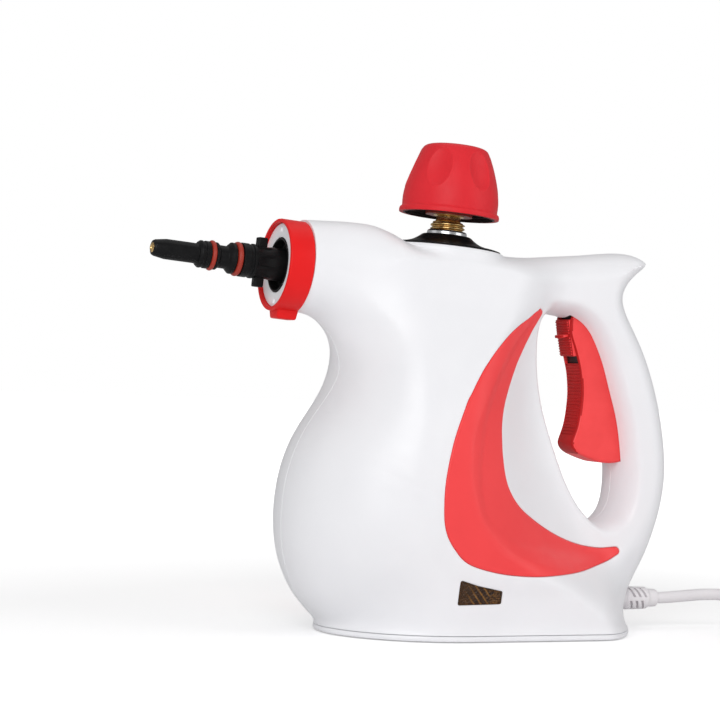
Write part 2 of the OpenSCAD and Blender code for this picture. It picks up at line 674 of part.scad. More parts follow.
// ---- boiler ----------------------------------------------------------------
boiler_bore = boiler_r - boiler_wall;
flange_r = 46;
bolt_circle_r = 43;
hose_x = -31;                            // axis of the steam hose, forward of the filler axis
hose_barb_r = 2.95;
steam_bore_r = 1.6;
upper_profile = [[boiler_bore, -69.9], [flange_r, -69.9], [flange_r, -66.4],
  [boiler_r, -66.4], [boiler_r, -39], [boiler_r - 2.6, -34.2], [14, -34.2], [14, -22],
  [10.8, -22], [10.8, -37], [boiler_r - 5, -37], [boiler_bore, -40.6]];
lower_profile = [[0, -121.5], [boiler_r - 5, -121.5], [boiler_r, -116.5],
  [boiler_r, -74.6], [flange_r, -74.6], [flange_r, -71.1], [boiler_bore, -71.1],
  [boiler_bore, -115.5], [boiler_r - 6, -118.5], [0, -118.5]];

module at_bolts(z) {
  for (i = [0 : flange_bolts - 1])
    rotate([0, 0, (i + 0.5) * 360 / flange_bolts]) translate([bolt_circle_r, 0, z]) children();
}
module bolt_holes() {
  at_bolts(-80) cylinder(r = 2.1, h = 30, $fn = round_fn);
}
module boiler_upper() {
  color(aluminium) filler_frame() difference() {
    union() {
      rotate_extrude($fn = 96) polygon(upper_profile);
      translate([hose_x, 0, 0]) {
        rod(-35.8, 5.5, 3.3);
        rod(-33, hose_barb_r, 10);
      }
      at_bolts(-69.7) cylinder(r = 4.6, h = 3.1, $fn = round_fn);
    }
    translate([hose_x, 0, 0]) rod(-60, steam_bore_r, 50);
    bolt_holes();
  }
}
module boiler_lower() {
  color(aluminium) filler_frame() difference() {
    union() {
      rotate_extrude($fn = 96) polygon(lower_profile);
      at_bolts(-74.4) cylinder(r = 4.6, h = 3.1, $fn = round_fn);
      at_legs(-138) cylinder(r = 4.2, h = 18, $fn = round_fn);
    }
    bolt_holes();
    at_legs(-139) cylinder(r = 1.95, h = 12, $fn = round_fn);
  }
}
module boiler_gasket() {
  color(rubber) filler_frame() translate([0, 0, -71.05]) ring(40.2, boiler_bore, 1.1, 96);
}
// Bolts with a nut above the flange and a hexagon head below it
module boiler_bolts() {
  hexagon_r = 3.3;
  color(steel) filler_frame() at_bolts(0) {
    rod(-77.4, 2, 14, 32);
    rotate([0, 0, 30]) {
      rod(-66.25, hexagon_r, 3, 6);
      rod(-78, hexagon_r, 3.3, 6);
    }
  }
}
module boiler_pads() {
  color(rubber) filler_frame() at_legs(post_top + 0.05) ring(4.9, 2.2, 0.9);
}
module boiler_screws() {
  color(steel) filler_frame() at_legs(post_screw_seat - 0.05) pan_screw(1.85, 25, 3.3, 2.4);
}

// ---- heater and electrics --------------------------------------------------
heater_r = 24.5;
heater_z = -125.2;
heater_gap = 30;                         // angle left open at the rear of the heater
switch_x = 9.8;
terminal_x = 40;
terminal_pitch = 8;
wire_z = 9.2;
wire_r = 1.4;
wire_bend_r = 5;
// Wires: x, side, height of the upper end
wire_runs = [[40, 1, 34], [48, 1, 32], [40, -1, 34], [56, -1, 30]];

module heating_element() {
  color(steel) filler_frame() {
    translate([0, 0, heater_z]) rotate([0, 0, heater_gap / 2])
      rotate_extrude(angle = 360 - heater_gap, $fn = 96)
        translate([heater_r, 0]) circle(r = 3.5, $fn = 32);
    for (s = [-1, 1])
      rotate([0, 0, s * heater_gap / 2]) translate([heater_r, 0, heater_z]) {
        rod(-3.6, 3.6, 7.2, 32);
        rod(-14, 1.6, 14, 32);
      }
  }
}
module heater_clamp() {
  color(aluminium) filler_frame() difference() {
    rod(-130.8, 28.2, 2, 96);
    rod(-132, 20.6, 6, 96);
    translate([heater_r, 0, -130]) cube([16, 22, 8], center = true);
  }
}
// Round switch with two flat terminals below it
module disc_switch(x) {
  filler_frame() translate([x, 0, -126.2]) {
    cylinder(r = 8.6, h = 4.5, $fn = round_fn);
    rod(-5, 7.4, 5.5);
    for (s = [-1, 1]) translate([s * 3.4 - 0.4, -2.4, -10]) cube([0.8, 4.8, 6]);
  }
}
module thermostat() {
  color(black) disc_switch(-switch_x);
}
module safety_thermostat() {
  color(ceramic) disc_switch(switch_x);
}
module thermal_fuse() {
  color(steel) filler_frame() translate([-7, 14.2, -123.6]) rotate([0, 90, 0]) {
    cylinder(r = 1.9, h = 14, $fn = 32);
    rod(-4, 0.5, 22, 16);
  }
}
module terminal_block() {
  color(white) difference() {
    translate([36, -10, 5.55]) cube([24, 20, 7]);
    for (i = [0 : 2]) translate([terminal_x + terminal_pitch * i, 0, 0]) {
      translate([0, -12, wire_z]) rotate([-90, 0, 0]) cylinder(r = 1.9, h = 24, $fn = 32);
      for (y = [-5, 5]) translate([0, y, 9]) cylinder(r = 1.6, h = 8, $fn = 32);
    }
  }
}
// Wire that leaves the terminal block sideways and bends upwards
module wire_run(x, side, top) {
  bend_z = wire_z + wire_bend_r;
  translate([x, side * 6, wire_z]) outward(side) cylinder(r = wire_r, h = 9, $fn = 24);
  translate([x, side * 15, bend_z]) rotate([0, 90, 0]) rotate([0, 0, side > 0 ? 0 : -90])
    rotate_extrude(angle = 90, $fn = 48)
      translate([wire_bend_r, 0]) circle(r = wire_r, $fn = 24);
  translate([x, side * 20, bend_z]) cylinder(r = wire_r, h = top - bend_z, $fn = 24);
}
module wires() {
  color(wire_blue) for (w = wire_runs) wire_run(w[0], w[1], w[2]);
}

// ---- steam valve -----------------------------------------------------------
module steam_hose() {
  color(hose_grey) filler_frame() translate([hose_x, 0, -32.3]) ring(4.9, 3, 21.6);
}
module hose_clamps() {
  color(steel) filler_frame() for (z = [-30.5, -15.5]) translate([hose_x, 0, z]) difference() {
    union() {
      cylinder(r = 6, h = 3, $fn = round_fn);
      translate([-9.5, -2, 0]) cube([5, 4, 3]);
    }
    rod(-1, 4.95, 5);
  }
}
module valve_body() {
  outer = [[0, 24], [6.5, 24], [6.5, 27], [8.5, 27], [8.5, 52], [0, 52]];
  bore = [[0, 20], [1.95, 20], [1.95, 28], [4.5, 28], [4.5, 33], [2.6, 33], [2.6, 35.5],
    [4.5, 35.5], [4.5, 46], [5.05, 46.2], [5.05, 60], [0, 60]];
  color(brass) difference() {
    union() {
      nozzle_frame() rotate_extrude($fn = 96) polygon(outer);
      filler_frame() translate([hose_x, 0, 0]) rod(-18, hose_barb_r, 12);
    }
    nozzle_frame() rotate_extrude($fn = 64) polygon(bore);
    filler_frame() translate([hose_x, 0, 0]) rod(-20, steam_bore_r, 18);
  }
}
module valve_stem() {
  color(steel) nozzle_frame() rotate_extrude($fn = 64)
    polygon([[0, 19.7], [1.9, 19.7], [1.9, 35.6], [4.1, 35.6], [4.1, 37.4], [1.2, 37.4],
      [1.2, 40], [0, 40]]);
}
module valve_spring() {
  color(steel) nozzle_frame() translate([0, 0, 38])
    coil(turns = 5, r = 2.9, wire_r = 0.4, pitch = 1.45, steps = 12, sides = 5);
}
// Flat rod from the trigger, with an eye that passes round the filler neck
module push_rod() {
  front_x = -19.55;
  eye_r = 13.4;
  eye_ends = [-1.3, 2.6];
  color(black) filler_frame() difference() {
    union() {
      translate([front_x, -4, -3.5]) cube([2, 8, 19]);
      translate([0, 0, 13.5]) linear_extrude(height = 2) union() {
        circle(r = 18, $fn = 96);
        translate([front_x, -6]) square([14, 12]);
        translate([12, -4]) square([60.2, 8]);
      }
      translate([70.2, -4, 11.5]) cube([2, 8, 8]);
    }
    translate([0, 0, 10]) linear_extrude(height = 10) union() {
      for (x = eye_ends) translate([x, 0]) circle(r = eye_r, $fn = 96);
      translate([eye_ends[0], -eye_r]) square([eye_ends[1] - eye_ends[0], 2 * eye_r]);
    }
  }
}

// ---- trigger ---------------------------------------------------------------
// Profile tables are x, z. The front edge runs downwards, first plain and then ribbed.
front_plain = [[44.9, 165.6], [44.7, 160.5], [45.4, 156], [47.9, 149.5], [50.2, 142.5]];
front_ribbed = [[50.2, 142.5], [51.9, 135], [52.7, 125], [51.9, 115], [50.6, 108],
  [48.5, 102.2]];
ribbed_length = 42;
rib_depth = 0.5;
rib_shares = [0.04, 0.3, 0.7, 0.96];     // corners of a rib as shares of the pitch
trigger_lower_and_back = [[47.9, 100.2], [48.2, 98], [49.9, 95.6], [53.4, 93.4],
  [60, 90.9], [66, 89.2], [73, 89.2], [80.5, 90.9], [81, 96], [79, 112], [74, 128],
  [68.5, 144], [62, 158], [57.5, 170], [56, 178], [53, 183]];
trigger_upper_arm = [[52, 188.6], [46.6, 188.6], [45.5, 180], [44.2, 174], [44, 168]];
trigger_hollow = [[56, 142], [57.5, 125], [56.5, 112], [54, 100], [60, 95], [90, 95],
  [86, 110], [78, 130], [70, 146], [64, 152]];
arm_half = 4.1;
arm_cut = 9.9;

function front_ribs() = let (n = round(ribbed_length / rib_pitch)) [
  for (i = [0 : n - 1]) for (k = [0 : 3]) let (
      s = (i + rib_shares[k]) / n,
      t = curve_dir(front_ribbed, s),
      d = (k == 0 || k == 3) ? rib_depth : 0)
    curve_at(front_ribbed, s) + [-t[1], t[0]] * d];

// Frame of the lock slide: origin at its upper end on the front face, local -Z down the face
module lock_frame() {
  translate([44.3, 0, 165]) rotate([0, -11, 0]) children();
}
module trigger() {
  profile = concat([for (i = [0 : 12]) curve_at(front_plain, i / 12)], front_ribs(),
    trigger_lower_and_back, trigger_upper_arm);
  color(red) difference() {
    middle_plate(trigger_w) polygon(profile);
    // upper arm is narrow
    for (y = [-arm_half - arm_cut, arm_half])
      translate([40, y, 170.5]) cube([24, arm_cut, 30]);
    // bore of the pivot
    translate([pivot_x, -20, pivot_z]) rotate([-90, 0, 0])
      cylinder(r = pin_r + 0.05, h = 40, $fn = round_fn);
    // pocket of the lock slide
    lock_frame() translate([-5, -7.6, -24.4]) cube([8.4, 15.2, 30]);
    // hollow back
    middle_plate(14) polygon(trigger_hollow);
  }
}
module trigger_lock() {
  color(dark_red) lock_frame() union() {
    translate([0.1, -7.4, -20]) cube([2.9, 14.8, 19.6]);
    for (z = [-18.6 : 2 : -2]) translate([-0.3, -6.8, z]) cube([0.6, 13.6, 1]);
    translate([-4, -3.6, -10.9]) cube([4.4, 7.2, 1.4]);
  }
}
module trigger_pin() {
  color(steel) translate([pivot_x, -pin_length / 2, pivot_z]) rotate([-90, 0, 0])
    cylinder(r = pin_r, h = pin_length, $fn = round_fn);
}
module trigger_spring() {
  color(steel) translate([pivot_x, 4.9, pivot_z]) rotate([-90, 0, 0])
    coil(turns = 3.25, r = 3, wire_r = 0.45, pitch = 1.1, steps = 14, sides = 6);
}

// ---- pressure cap ----------------------------------------------------------
// Outside and inside of the cap: radius, height above the rim
cap_outer = [[26, 0], [26.2, 2.6], [26, 3.4], [25.3, 4.2], [24.95, 4.7], [25, 8],
  [24.6, 13], [23.2, 19], [21.5, 25], [19.4, 30.5], [17.4, 34.8], [15.2, 37],
  [12.5, 37.8], [6, 38.1], [0, 38.2]];
cap_inner = [[0, 35.6], [12, 35.4], [14.3, 34.2], [15.6, 32.4], [17.2, 29], [18.9, 24.4],
  [20.6, 18.6], [21.8, 12.6], [22.2, 8], [22.2, 3], [23.6, 2.4], [23.6, 0]];
cap_screw_circle_r = 15.2;
thread_turns = 7;
thread_root_r = cap_thread_r - 1.1;

module at_cap_screws(z) {
  for (i = [0 : 2])
    rotate([0, 0, 120 * i + 30]) translate([cap_screw_circle_r, 0, z]) children();
}
module cap_shell() {
  color(red) filler_frame() translate([0, 0, cap_rim]) union() {
    rotate_extrude($fn = 96) polygon(concat(cap_outer, cap_inner));
    at_cap_screws(9.2) difference() {
      cylinder(r = 3.3, h = 21.5, $fn = 32);
      rod(-1, 1.45, 12, 32);
    }
  }
}
module cap_carrier() {
  color(black) filler_frame() difference() {
    union() {
      rod(42.6, 20.6, 2.6, 96);
      rod(45, 11.6, 14, 96);
      for (i = [0 : 5]) rotate([0, 0, 60 * i]) translate([11, -0.7, 45]) cube([8.6, 1.4, 5]);
    }
    rod(40, 9.95, 17, 6);
    rod(50, 6, 20);
    at_cap_screws(40) cylinder(r = 1.7, h = 10, $fn = 32);
  }
}
module cap_screws() {
  color(steel) filler_frame() at_cap_screws(42.55) pan_screw(1.35, 11, 2.8, 1.6);
}
// Plug with ridges in place of a helical thread
module cap_plug() {
  thread = [for (i = [0 : thread_turns - 1]) let (z = 20.6 + cap_pitch * i)
    each [[thread_root_r, z], [cap_thread_r, z + 0.75], [cap_thread_r, z + 1.05],
      [thread_root_r, z + 1.8]]];
  color(brass) filler_frame() difference() {
    union() {
      rotate_extrude($fn = 96) polygon(concat([[0, 19.4], [7, 19.4], [thread_root_r, 20.2]],
        thread, [[8.1, 35], [8.1, 39.4], [12.2, 39.4], [12.2, 42.4], [0, 42.4]]));
      rod(42.3, 9.8, 12, 6);
    }
    rod(10, 2.4, 30);
    rod(30, 5, 40);
  }
}
module cap_gasket() {
  color(gasket_red) filler_frame() translate([0, 0, 37.55]) ring(12.2, 8.2, 1.8);
}
module relief_poppet() {
  color(steel) filler_frame() rotate_extrude($fn = 64)
    polygon([[0, 27.5], [1.6, 27.5], [1.9, 30.1], [4.9, 30.1], [4.9, 33.4], [2, 33.4],
      [2, 38], [0, 38]]);
}
module relief_spring() {
  color(steel) filler_frame() translate([0, 0, 34])
    coil(turns = 6.5, r = 3.5, wire_r = 0.5, pitch = 2, steps = 12, sides = 5);
}
module relief_retainer() {
  color(brass) filler_frame() translate([0, 0, 48.6]) difference() {
    cylinder(r = 4.95, h = 3, $fn = round_fn);
    rod(-1, 1.6, 6);
    translate([-6, -0.6, 1.8]) cube([12, 1.2, 2]);
  }
}

// ---- power cord ------------------------------------------------------------
cord_sides = 16;
bend_r = 40;
cord_rise = 4;
cord_drop = 17.1;
floor_z = cord_z + cord_rise - cord_drop;
bend_angle = acos(1 - cord_drop / (2 * bend_r));
drop_x = 140;
floor_x = drop_x + 2 * bend_r * sin(bend_angle);
turn_r = 26;
plug_x = floor_x - 2;
plug_y = -2 * turn_r;
plug_z = 7.5;
plug_front = -34;                        // face of the plug, from plug_x
// Centre line: leaves the relief, rises a little, dips to the floor in two bends
// and turns back to the plug
cord_line = concat(
  [[61.5, 0, cord_z], [92, 0, cord_z]],
  [for (i = [0 : 5]) [108 + 6.2 * i, 0, cord_z + cord_rise * smooth_step(0, 32, 6.2 * i)]],
  [for (i = [0 : 8]) let (a = bend_angle * i / 8)
    [drop_x + bend_r * sin(a), 0, cord_z + cord_rise - bend_r + bend_r * cos(a)]],
  [for (i = [1 : 8]) let (a = bend_angle * (1 - i / 8))
    [floor_x - bend_r * sin(a), 0, floor_z + bend_r - bend_r * cos(a)]],
  [for (i = [1 : 16]) let (a = 180 * i / 16)
    [floor_x + turn_r * sin(a), -turn_r + turn_r * cos(a),
      floor_z + (plug_z - floor_z) * smooth_step(0.3, 1, i / 16)]],
  [[floor_x - 4, plug_y, plug_z]]);

module cord_clamp() {
  color(white) difference() {
    translate([67.5, -9, 16.6]) cube([9, 18, 6]);
    cord_frame(60) cylinder(r = cord_bore_r, h = 30, $fn = round_fn);
    at_pairs(clamp_screws, 10) cylinder(r = 1.4, h = 20, $fn = round_fn);
  }
}
// Ribbed sleeve with a collar inside the housing
module strain_relief() {
  color(white) cord_frame(0) difference() {
    union() {
      rod(77.2, 6.6, 1.2);
      rod(77.2, 5.2, 10);
      translate([0, 0, 86.6]) cylinder(r1 = 4.7, r2 = 4.1, h = 20, $fn = round_fn);
      for (i = [0 : 5]) rod(87.6 + i * 3.4, 6.1 - 0.12 * i, 2);
    }
    rod(70, cord_bore_r, 50);
  }
}
module power_cord() {
  n = len(cord_line);
  points = [for (i = [0 : n - 1]) let (
      along = unit(cord_line[min(i + 1, n - 1)] - cord_line[max(i - 1, 0)]),
      level = unit(cross(along, [0, 0, 1])),
      upward = cross(level, along))
    for (j = [0 : cord_sides - 1]) let (a = 360 * j / cord_sides)
      cord_line[i] + cord_r * (cos(a) * level + sin(a) * upward)];
  color(white) polyhedron(points = points, faces = tube_faces(n, cord_sides));
}
module plug_body() {
  color(white) translate([plug_x, plug_y, plug_z]) difference() {
    union() {
      translate([-1, 0, 0]) rotate([0, -90, 0]) cylinder(r = 4.8, h = 12, $fn = round_fn);
      translate([plug_front, -16, -plug_z]) cube([24, 32, 15]);
    }
    translate([10, 0, 0]) rotate([0, -90, 0]) cylinder(r = cord_r + 0.02, h = 20, $fn = 32);
  }
}
module plug_pins() {
  color(steel) translate([plug_x + plug_front, plug_y, plug_z]) for (s = [-1, 1])
    translate([0, s * plug_pitch / 2, 0]) rotate([0, -90, 0]) {
      cylinder(r = plug_pin_r, h = 18, $fn = 48);
      translate([0, 0, 18]) sphere(r = plug_pin_r, $fn = 48);
    }
}

housing_left();
housing_right();
base_plate();
rubber_feet();
base_screws();
housing_screws();
side_panel_left();
side_panel_right();
indicator_lens();
indicator_lamp();
nozzle_bezel();
lock_ring();
nozzle_tube();
nozzle_tip();
o_ring_front();
o_ring_rear();
filler_trim();
filler_neck();
neck_seal();
boiler_upper();
boiler_lower();
boiler_gasket();
boiler_bolts();
boiler_pads();
boiler_screws();
heating_element();
heater_clamp();
thermostat();
safety_thermostat();
thermal_fuse();
terminal_block();
wires();
steam_hose();
hose_clamps();
valve_body();
valve_stem();
valve_spring();
push_rod();
trigger();
trigger_pin();
trigger_spring();
trigger_lock();
cap_shell();
cap_carrier();
cap_screws();
cap_plug();
cap_gasket();
relief_poppet();
relief_spring();
relief_retainer();
cord_clamp();
strain_relief();
power_cord();
plug_body();
plug_pins();
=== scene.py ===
"""Hand-held pressurised steam cleaner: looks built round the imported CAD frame.

It stands on z = 0 with the nozzle towards -X, the cord leaving towards +X and its left
side at -Y. Mesh lengths are millimetres, scaled to metres when a mesh is made. Outlines
and loops of the body and trigger are drawn in the side plane, as (x, z).
"""
import json
import math

import bpy
import bmesh
import numpy as np
from mathutils import Matrix, Vector
from mathutils.geometry import delaunay_2d_cdt

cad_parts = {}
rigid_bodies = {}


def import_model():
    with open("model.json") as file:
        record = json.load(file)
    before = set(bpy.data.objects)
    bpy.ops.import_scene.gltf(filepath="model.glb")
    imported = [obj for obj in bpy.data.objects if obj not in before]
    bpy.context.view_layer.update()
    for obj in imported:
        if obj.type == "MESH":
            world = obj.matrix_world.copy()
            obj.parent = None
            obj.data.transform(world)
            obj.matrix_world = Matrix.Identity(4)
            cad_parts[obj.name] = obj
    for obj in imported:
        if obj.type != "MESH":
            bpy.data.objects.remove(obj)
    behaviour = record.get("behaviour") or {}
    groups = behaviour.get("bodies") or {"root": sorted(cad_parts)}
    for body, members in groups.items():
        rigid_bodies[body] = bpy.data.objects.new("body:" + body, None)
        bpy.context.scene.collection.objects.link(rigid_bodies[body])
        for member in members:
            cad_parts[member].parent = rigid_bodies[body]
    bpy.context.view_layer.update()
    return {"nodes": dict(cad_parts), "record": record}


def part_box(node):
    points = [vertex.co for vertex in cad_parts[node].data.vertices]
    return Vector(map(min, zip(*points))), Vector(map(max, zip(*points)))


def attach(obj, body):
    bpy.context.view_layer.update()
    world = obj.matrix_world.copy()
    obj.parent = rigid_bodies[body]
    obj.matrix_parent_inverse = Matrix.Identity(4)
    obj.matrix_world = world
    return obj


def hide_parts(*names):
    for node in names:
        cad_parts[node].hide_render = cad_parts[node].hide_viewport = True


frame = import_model()
MM = 0.001
joint = {j["name"]: j for j in frame["record"]["behaviour"]["joints"]}
jet_mount = {m["name"]: m for m in frame["record"]["mounts"]}["jet_spigot"]


# ---------------------------------------------------------------- shared frames
def unit(vector):
    vector = np.asarray(vector, float)
    return vector / np.linalg.norm(vector)


def unit_rows(rows):
    return rows / np.linalg.norm(rows, axis=1)[:, None]


def same(points):
    return np.asarray(points, float).reshape(-1, 3)


def axes(origin, x, y, z):
    """Function that takes points from a local frame to the shared frame."""
    return lambda points: (origin + same(points)[:, :1] * x + same(points)[:, 1:2] * y
                           + same(points)[:, 2:3] * z)


def line_frame(origin, x, z):
    x, z = unit(x), unit(z)
    return axes(np.array(origin, float), x, np.cross(z, x), z)


def spun(place, angle):
    """The frame place, turned about its local z."""
    c, s = math.cos(angle), math.sin(angle)
    return lambda p: place(np.stack([p[:, 0] * c - p[:, 1] * s, p[:, 0] * s + p[:, 1] * c,
                                     p[:, 2]], 1))


def box_mm(node):
    """Low and high corner of a CAD node, in millimetres."""
    return [np.array(corner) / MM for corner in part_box(node)]


UP = unit(joint["cap_turn"]["axis"])            # up the filler neck
FORWARD = unit(joint["ring_turn"]["axis"])      # forward along the nozzle
ACROSS = np.array([0.0, 1.0, 0.0])
cap_at = np.array(joint["cap_turn"]["pos_m"]) / MM
jet_at = np.array(jet_mount["pos_m"]) / MM
reach = np.linalg.solve(np.stack([UP[[0, 2]], -FORWARD[[0, 2]]], 1), (jet_at - cap_at)[[0, 2]])
CROSSING = cap_at + reach[0] * UP               # where the filler and nozzle axes cross
CROSSING[1] = 0.0

filler = axes(CROSSING, -FORWARD, ACROSS, UP)   # z up the neck, x away from the nozzle
nozzle = axes(CROSSING, UP, ACROSS, FORWARD)    # z forward, x up
CORD_Z = 16.3
cord_line = line_frame((0, 0, CORD_Z), (0, 0, 1), (1, 0, 0))    # z along +X, x up
PIVOT_X, _, PIVOT_Z = np.array(joint["trigger_squeeze"]["pos_m"]) / MM
LOCK_UP = -unit(joint["lock_slide"]["axis"])    # up the face of the trigger
LOCK_IN = unit(np.cross(ACROSS, LOCK_UP))       # into the trigger
LOCK_AT = np.array([44.3, 0, 165.0])
lock_place = line_frame(LOCK_AT, LOCK_IN, LOCK_UP)


# ---------------------------------------------------------------- materials
class Nodes:
    """A material and short ways to add nodes to it."""

    def __init__(self, name):
        self.mat = bpy.data.materials.new(name)
        self.mat.use_nodes = True
        self.tree = self.mat.node_tree
        self.bsdf = self.tree.nodes["Principled BSDF"]
        self.coord = self.tree.nodes.new("ShaderNodeTexCoord").outputs["Object"]

    def feed(self, socket, value):
        """Links or sets an input."""
        if isinstance(value, bpy.types.NodeSocket):
            self.tree.links.new(value, socket)
        elif isinstance(value, tuple) and socket.type == "RGBA":
            socket.default_value = (*value, 1.0)
        else:
            socket.default_value = value

    def new(self, kind, **values):
        node = self.tree.nodes.new(kind)
        for key, value in values.items():
            if hasattr(node, key):
                setattr(node, key, value)
            else:
                self.feed(node.inputs[key.replace("_", " ")], value)
        return node

    def noise(self, scale, detail=4.0, rough=0.55, stretch=None):
        source = self.coord
        if stretch is not None:
            mapping = self.new("ShaderNodeMapping", Scale=stretch, Vector=source)
            source = mapping.outputs["Vector"]
        return self.new("ShaderNodeTexNoise", Scale=scale, Detail=detail, Roughness=rough,
                        Vector=source).outputs["Fac"]

    def ramp(self, source, span=(0.3, 0.7), to=(0.0, 1.0)):
        """Maps source from span to to."""
        return self.new("ShaderNodeMapRange", From_Min=span[0], From_Max=span[1],
                        To_Min=to[0], To_Max=to[1], Value=source).outputs["Result"]

    def mix(self, factor, first, second):
        node = self.new("ShaderNodeMix", data_type="RGBA")
        for i, value in ((0, factor), (6, first), (7, second)):
            self.feed(node.inputs[i], value)
        return node.outputs[2]

    def math(self, operation, first, second=0.0):
        node = self.new("ShaderNodeMath", operation=operation)
        for i, value in enumerate((first, second, 0.0)):
            self.feed(node.inputs[i], value)
        return node.outputs[0]

    def bump(self, height, strength, distance):
        node = self.new("ShaderNodeBump", Strength=strength, Distance=distance, Height=height)
        self.feed(self.bsdf.inputs["Normal"], node.outputs["Normal"])

    def put(self, **values):
        for key, value in values.items():
            self.feed(self.bsdf.inputs[key.replace("_", " ")], value)


def plastic(name, color, dark, rough, grain=1500.0, grain_depth=0.00003, mottle=35.0,
            spec=0.5, coat=0.0, wear=None):
    """Moulded plastic: slow tint drift, fine grain, and hairline marks in the gloss."""
    m = Nodes(name)
    slow = m.noise(scale=mottle, detail=3.0)
    tint = m.mix(m.ramp(slow), dark, color)
    if wear is not None:
        point = m.new("ShaderNodeNewGeometry").outputs["Pointiness"]
        edge = m.ramp(point, span=(0.53, 0.62), to=(0.0, 0.35))
        patchy = m.ramp(m.noise(scale=300.0), span=(0.4, 0.6), to=(0.3, 1.0))
        tint = m.mix(m.math("MULTIPLY", edge, patchy), tint, wear)
    fine = m.noise(scale=grain, detail=2.0, rough=0.5)
    medium = m.noise(scale=grain * 0.12, detail=4.0, rough=0.6)
    scratch = m.noise(scale=420.0, detail=5.0, rough=0.7, stretch=(1.0, 0.15, 6.0))
    gloss = m.math("ADD", m.ramp(medium, to=rough),
                   m.ramp(scratch, span=(0.62, 0.7), to=(0.0, 0.05)))
    m.put(Base_Color=tint, Roughness=gloss, Specular_IOR_Level=spec, Coat_Weight=coat,
          Coat_Roughness=0.12)
    height = m.math("ADD", m.math("MULTIPLY", fine, 0.7), m.math("MULTIPLY", medium, 0.5))
    m.bump(height, strength=0.35, distance=grain_depth)
    return m.mat


def metal(name, color, dark, rough, stain, lines=(1.0, 1.0, 1.0), aniso=0.0):
    """Metal with slow stains; lines stretches its fine grain along the tool marks."""
    m = Nodes(name)
    slow = m.noise(scale=140.0, detail=5.0, rough=0.6)
    tint = m.mix(m.ramp(slow, span=(0.35, 0.75), to=(0.0, stain)), color, dark)
    fine = m.noise(scale=900.0, detail=3.0, rough=0.6, stretch=lines)
    m.put(Base_Color=tint, Metallic=1.0, Roughness=m.ramp(fine, to=rough), Anisotropic=aniso)
    m.bump(fine, strength=0.25, distance=0.00003)
    return m.mat


def rubber(name, color, dark, rough=(0.5, 0.68)):
    m = Nodes(name)
    slow = m.noise(scale=90.0)
    fine = m.noise(scale=1800.0, detail=3.0)
    m.put(Base_Color=m.mix(m.ramp(slow), color, dark), Roughness=m.ramp(fine, to=rough),
          Specular_IOR_Level=0.4)
    m.bump(fine, strength=0.3, distance=0.00004)
    return m.mat


WHITE = plastic("white_moulding", color=(0.905, 0.905, 0.93), dark=(0.885, 0.885, 0.912),
                rough=(0.36, 0.46), coat=0.06)
RED = plastic("red_moulding", color=(0.97, 0.054, 0.058), dark=(0.91, 0.046, 0.050),
              rough=(0.40, 0.50), mottle=22.0, grain=1100.0, grain_depth=0.00005)
RED_CAP = plastic("red_cap_moulding", color=(0.76, 0.020, 0.030), dark=(0.70, 0.016, 0.025),
                  rough=(0.42, 0.54), mottle=40.0, grain=1300.0, grain_depth=0.00006, spec=0.28)
# painted shade: a deeper red for the faces of the trigger and lock slide towards the nozzle
RED_FRONT_SHADE = plastic("red_trigger_front", color=(0.52, 0.010, 0.010), dark=(0.44, 0.008, 0.008),
                    rough=(0.44, 0.54), mottle=60.0, grain=1300.0, grain_depth=0.00004,
                    spec=0.2)
RED_RING = plastic("red_ring_moulding", color=(0.84, 0.008, 0.009), dark=(0.78, 0.006, 0.007),
                   rough=(0.40, 0.50), mottle=40.0, grain=1300.0, grain_depth=0.00005,
                   spec=0.25)
RED_TRIG = plastic("red_trigger_moulding", color=(0.97, 0.060, 0.062),
                   dark=(0.89, 0.046, 0.048), rough=(0.42, 0.52), mottle=60.0, grain=1300.0,
                   grain_depth=0.00004)
BLACK = plastic("black_moulding", color=(0.007, 0.007, 0.0075), dark=(0.004, 0.004, 0.0045),
                rough=(0.32, 0.48), mottle=120.0, grain=900.0, grain_depth=0.00005, spec=0.14,
                wear=(0.018, 0.018, 0.018))
CORD = plastic("cord_pvc", color=(0.83, 0.80, 0.82), dark=(0.79, 0.76, 0.78),
               rough=(0.40, 0.50), mottle=60.0)
CREAM = plastic("cream_ceramic", color=(0.72, 0.68, 0.58), dark=(0.66, 0.61, 0.51),
                rough=(0.30, 0.45), mottle=150.0)
BLUE = plastic("blue_insulation", color=(0.06, 0.12, 0.50), dark=(0.05, 0.10, 0.42),
               rough=(0.35, 0.45))
SILICONE = plastic("silicone_hose", color=(0.72, 0.72, 0.66), dark=(0.66, 0.66, 0.60),
                   rough=(0.45, 0.55))
BRASS = metal("brass_turned", color=(0.78, 0.55, 0.24), dark=(0.30, 0.17, 0.06),
              rough=(0.16, 0.36), lines=(0.2, 0.2, 6.0), stain=0.75, aniso=0.3)
SILVER = metal("neck_turned", color=(0.74, 0.75, 0.77), dark=(0.42, 0.42, 0.44),
               rough=(0.16, 0.30), lines=(0.3, 0.3, 5.0), stain=0.4, aniso=0.3)
STEEL = metal("zinc_steel", color=(0.66, 0.67, 0.69), dark=(0.42, 0.42, 0.43),
              rough=(0.25, 0.42), stain=0.5)
ALUMINIUM = metal("cast_aluminium", color=(0.74, 0.75, 0.77), dark=(0.55, 0.55, 0.57),
                  rough=(0.36, 0.55), stain=0.6)
# near-black painted shade, for the inside of the cap and the floor of the lock slide's pocket
PAINTED_SHADE_BLACK = rubber("cap_inside", color=(0.030, 0.006, 0.006), dark=(0.012, 0.004, 0.004))
BLACK_RUBBER = rubber("black_rubber", color=(0.020, 0.020, 0.021), dark=(0.030, 0.030, 0.031))
RED_RUBBER = rubber("red_seal", color=(0.42, 0.035, 0.018), dark=(0.33, 0.025, 0.012),
                    rough=(0.36, 0.5))


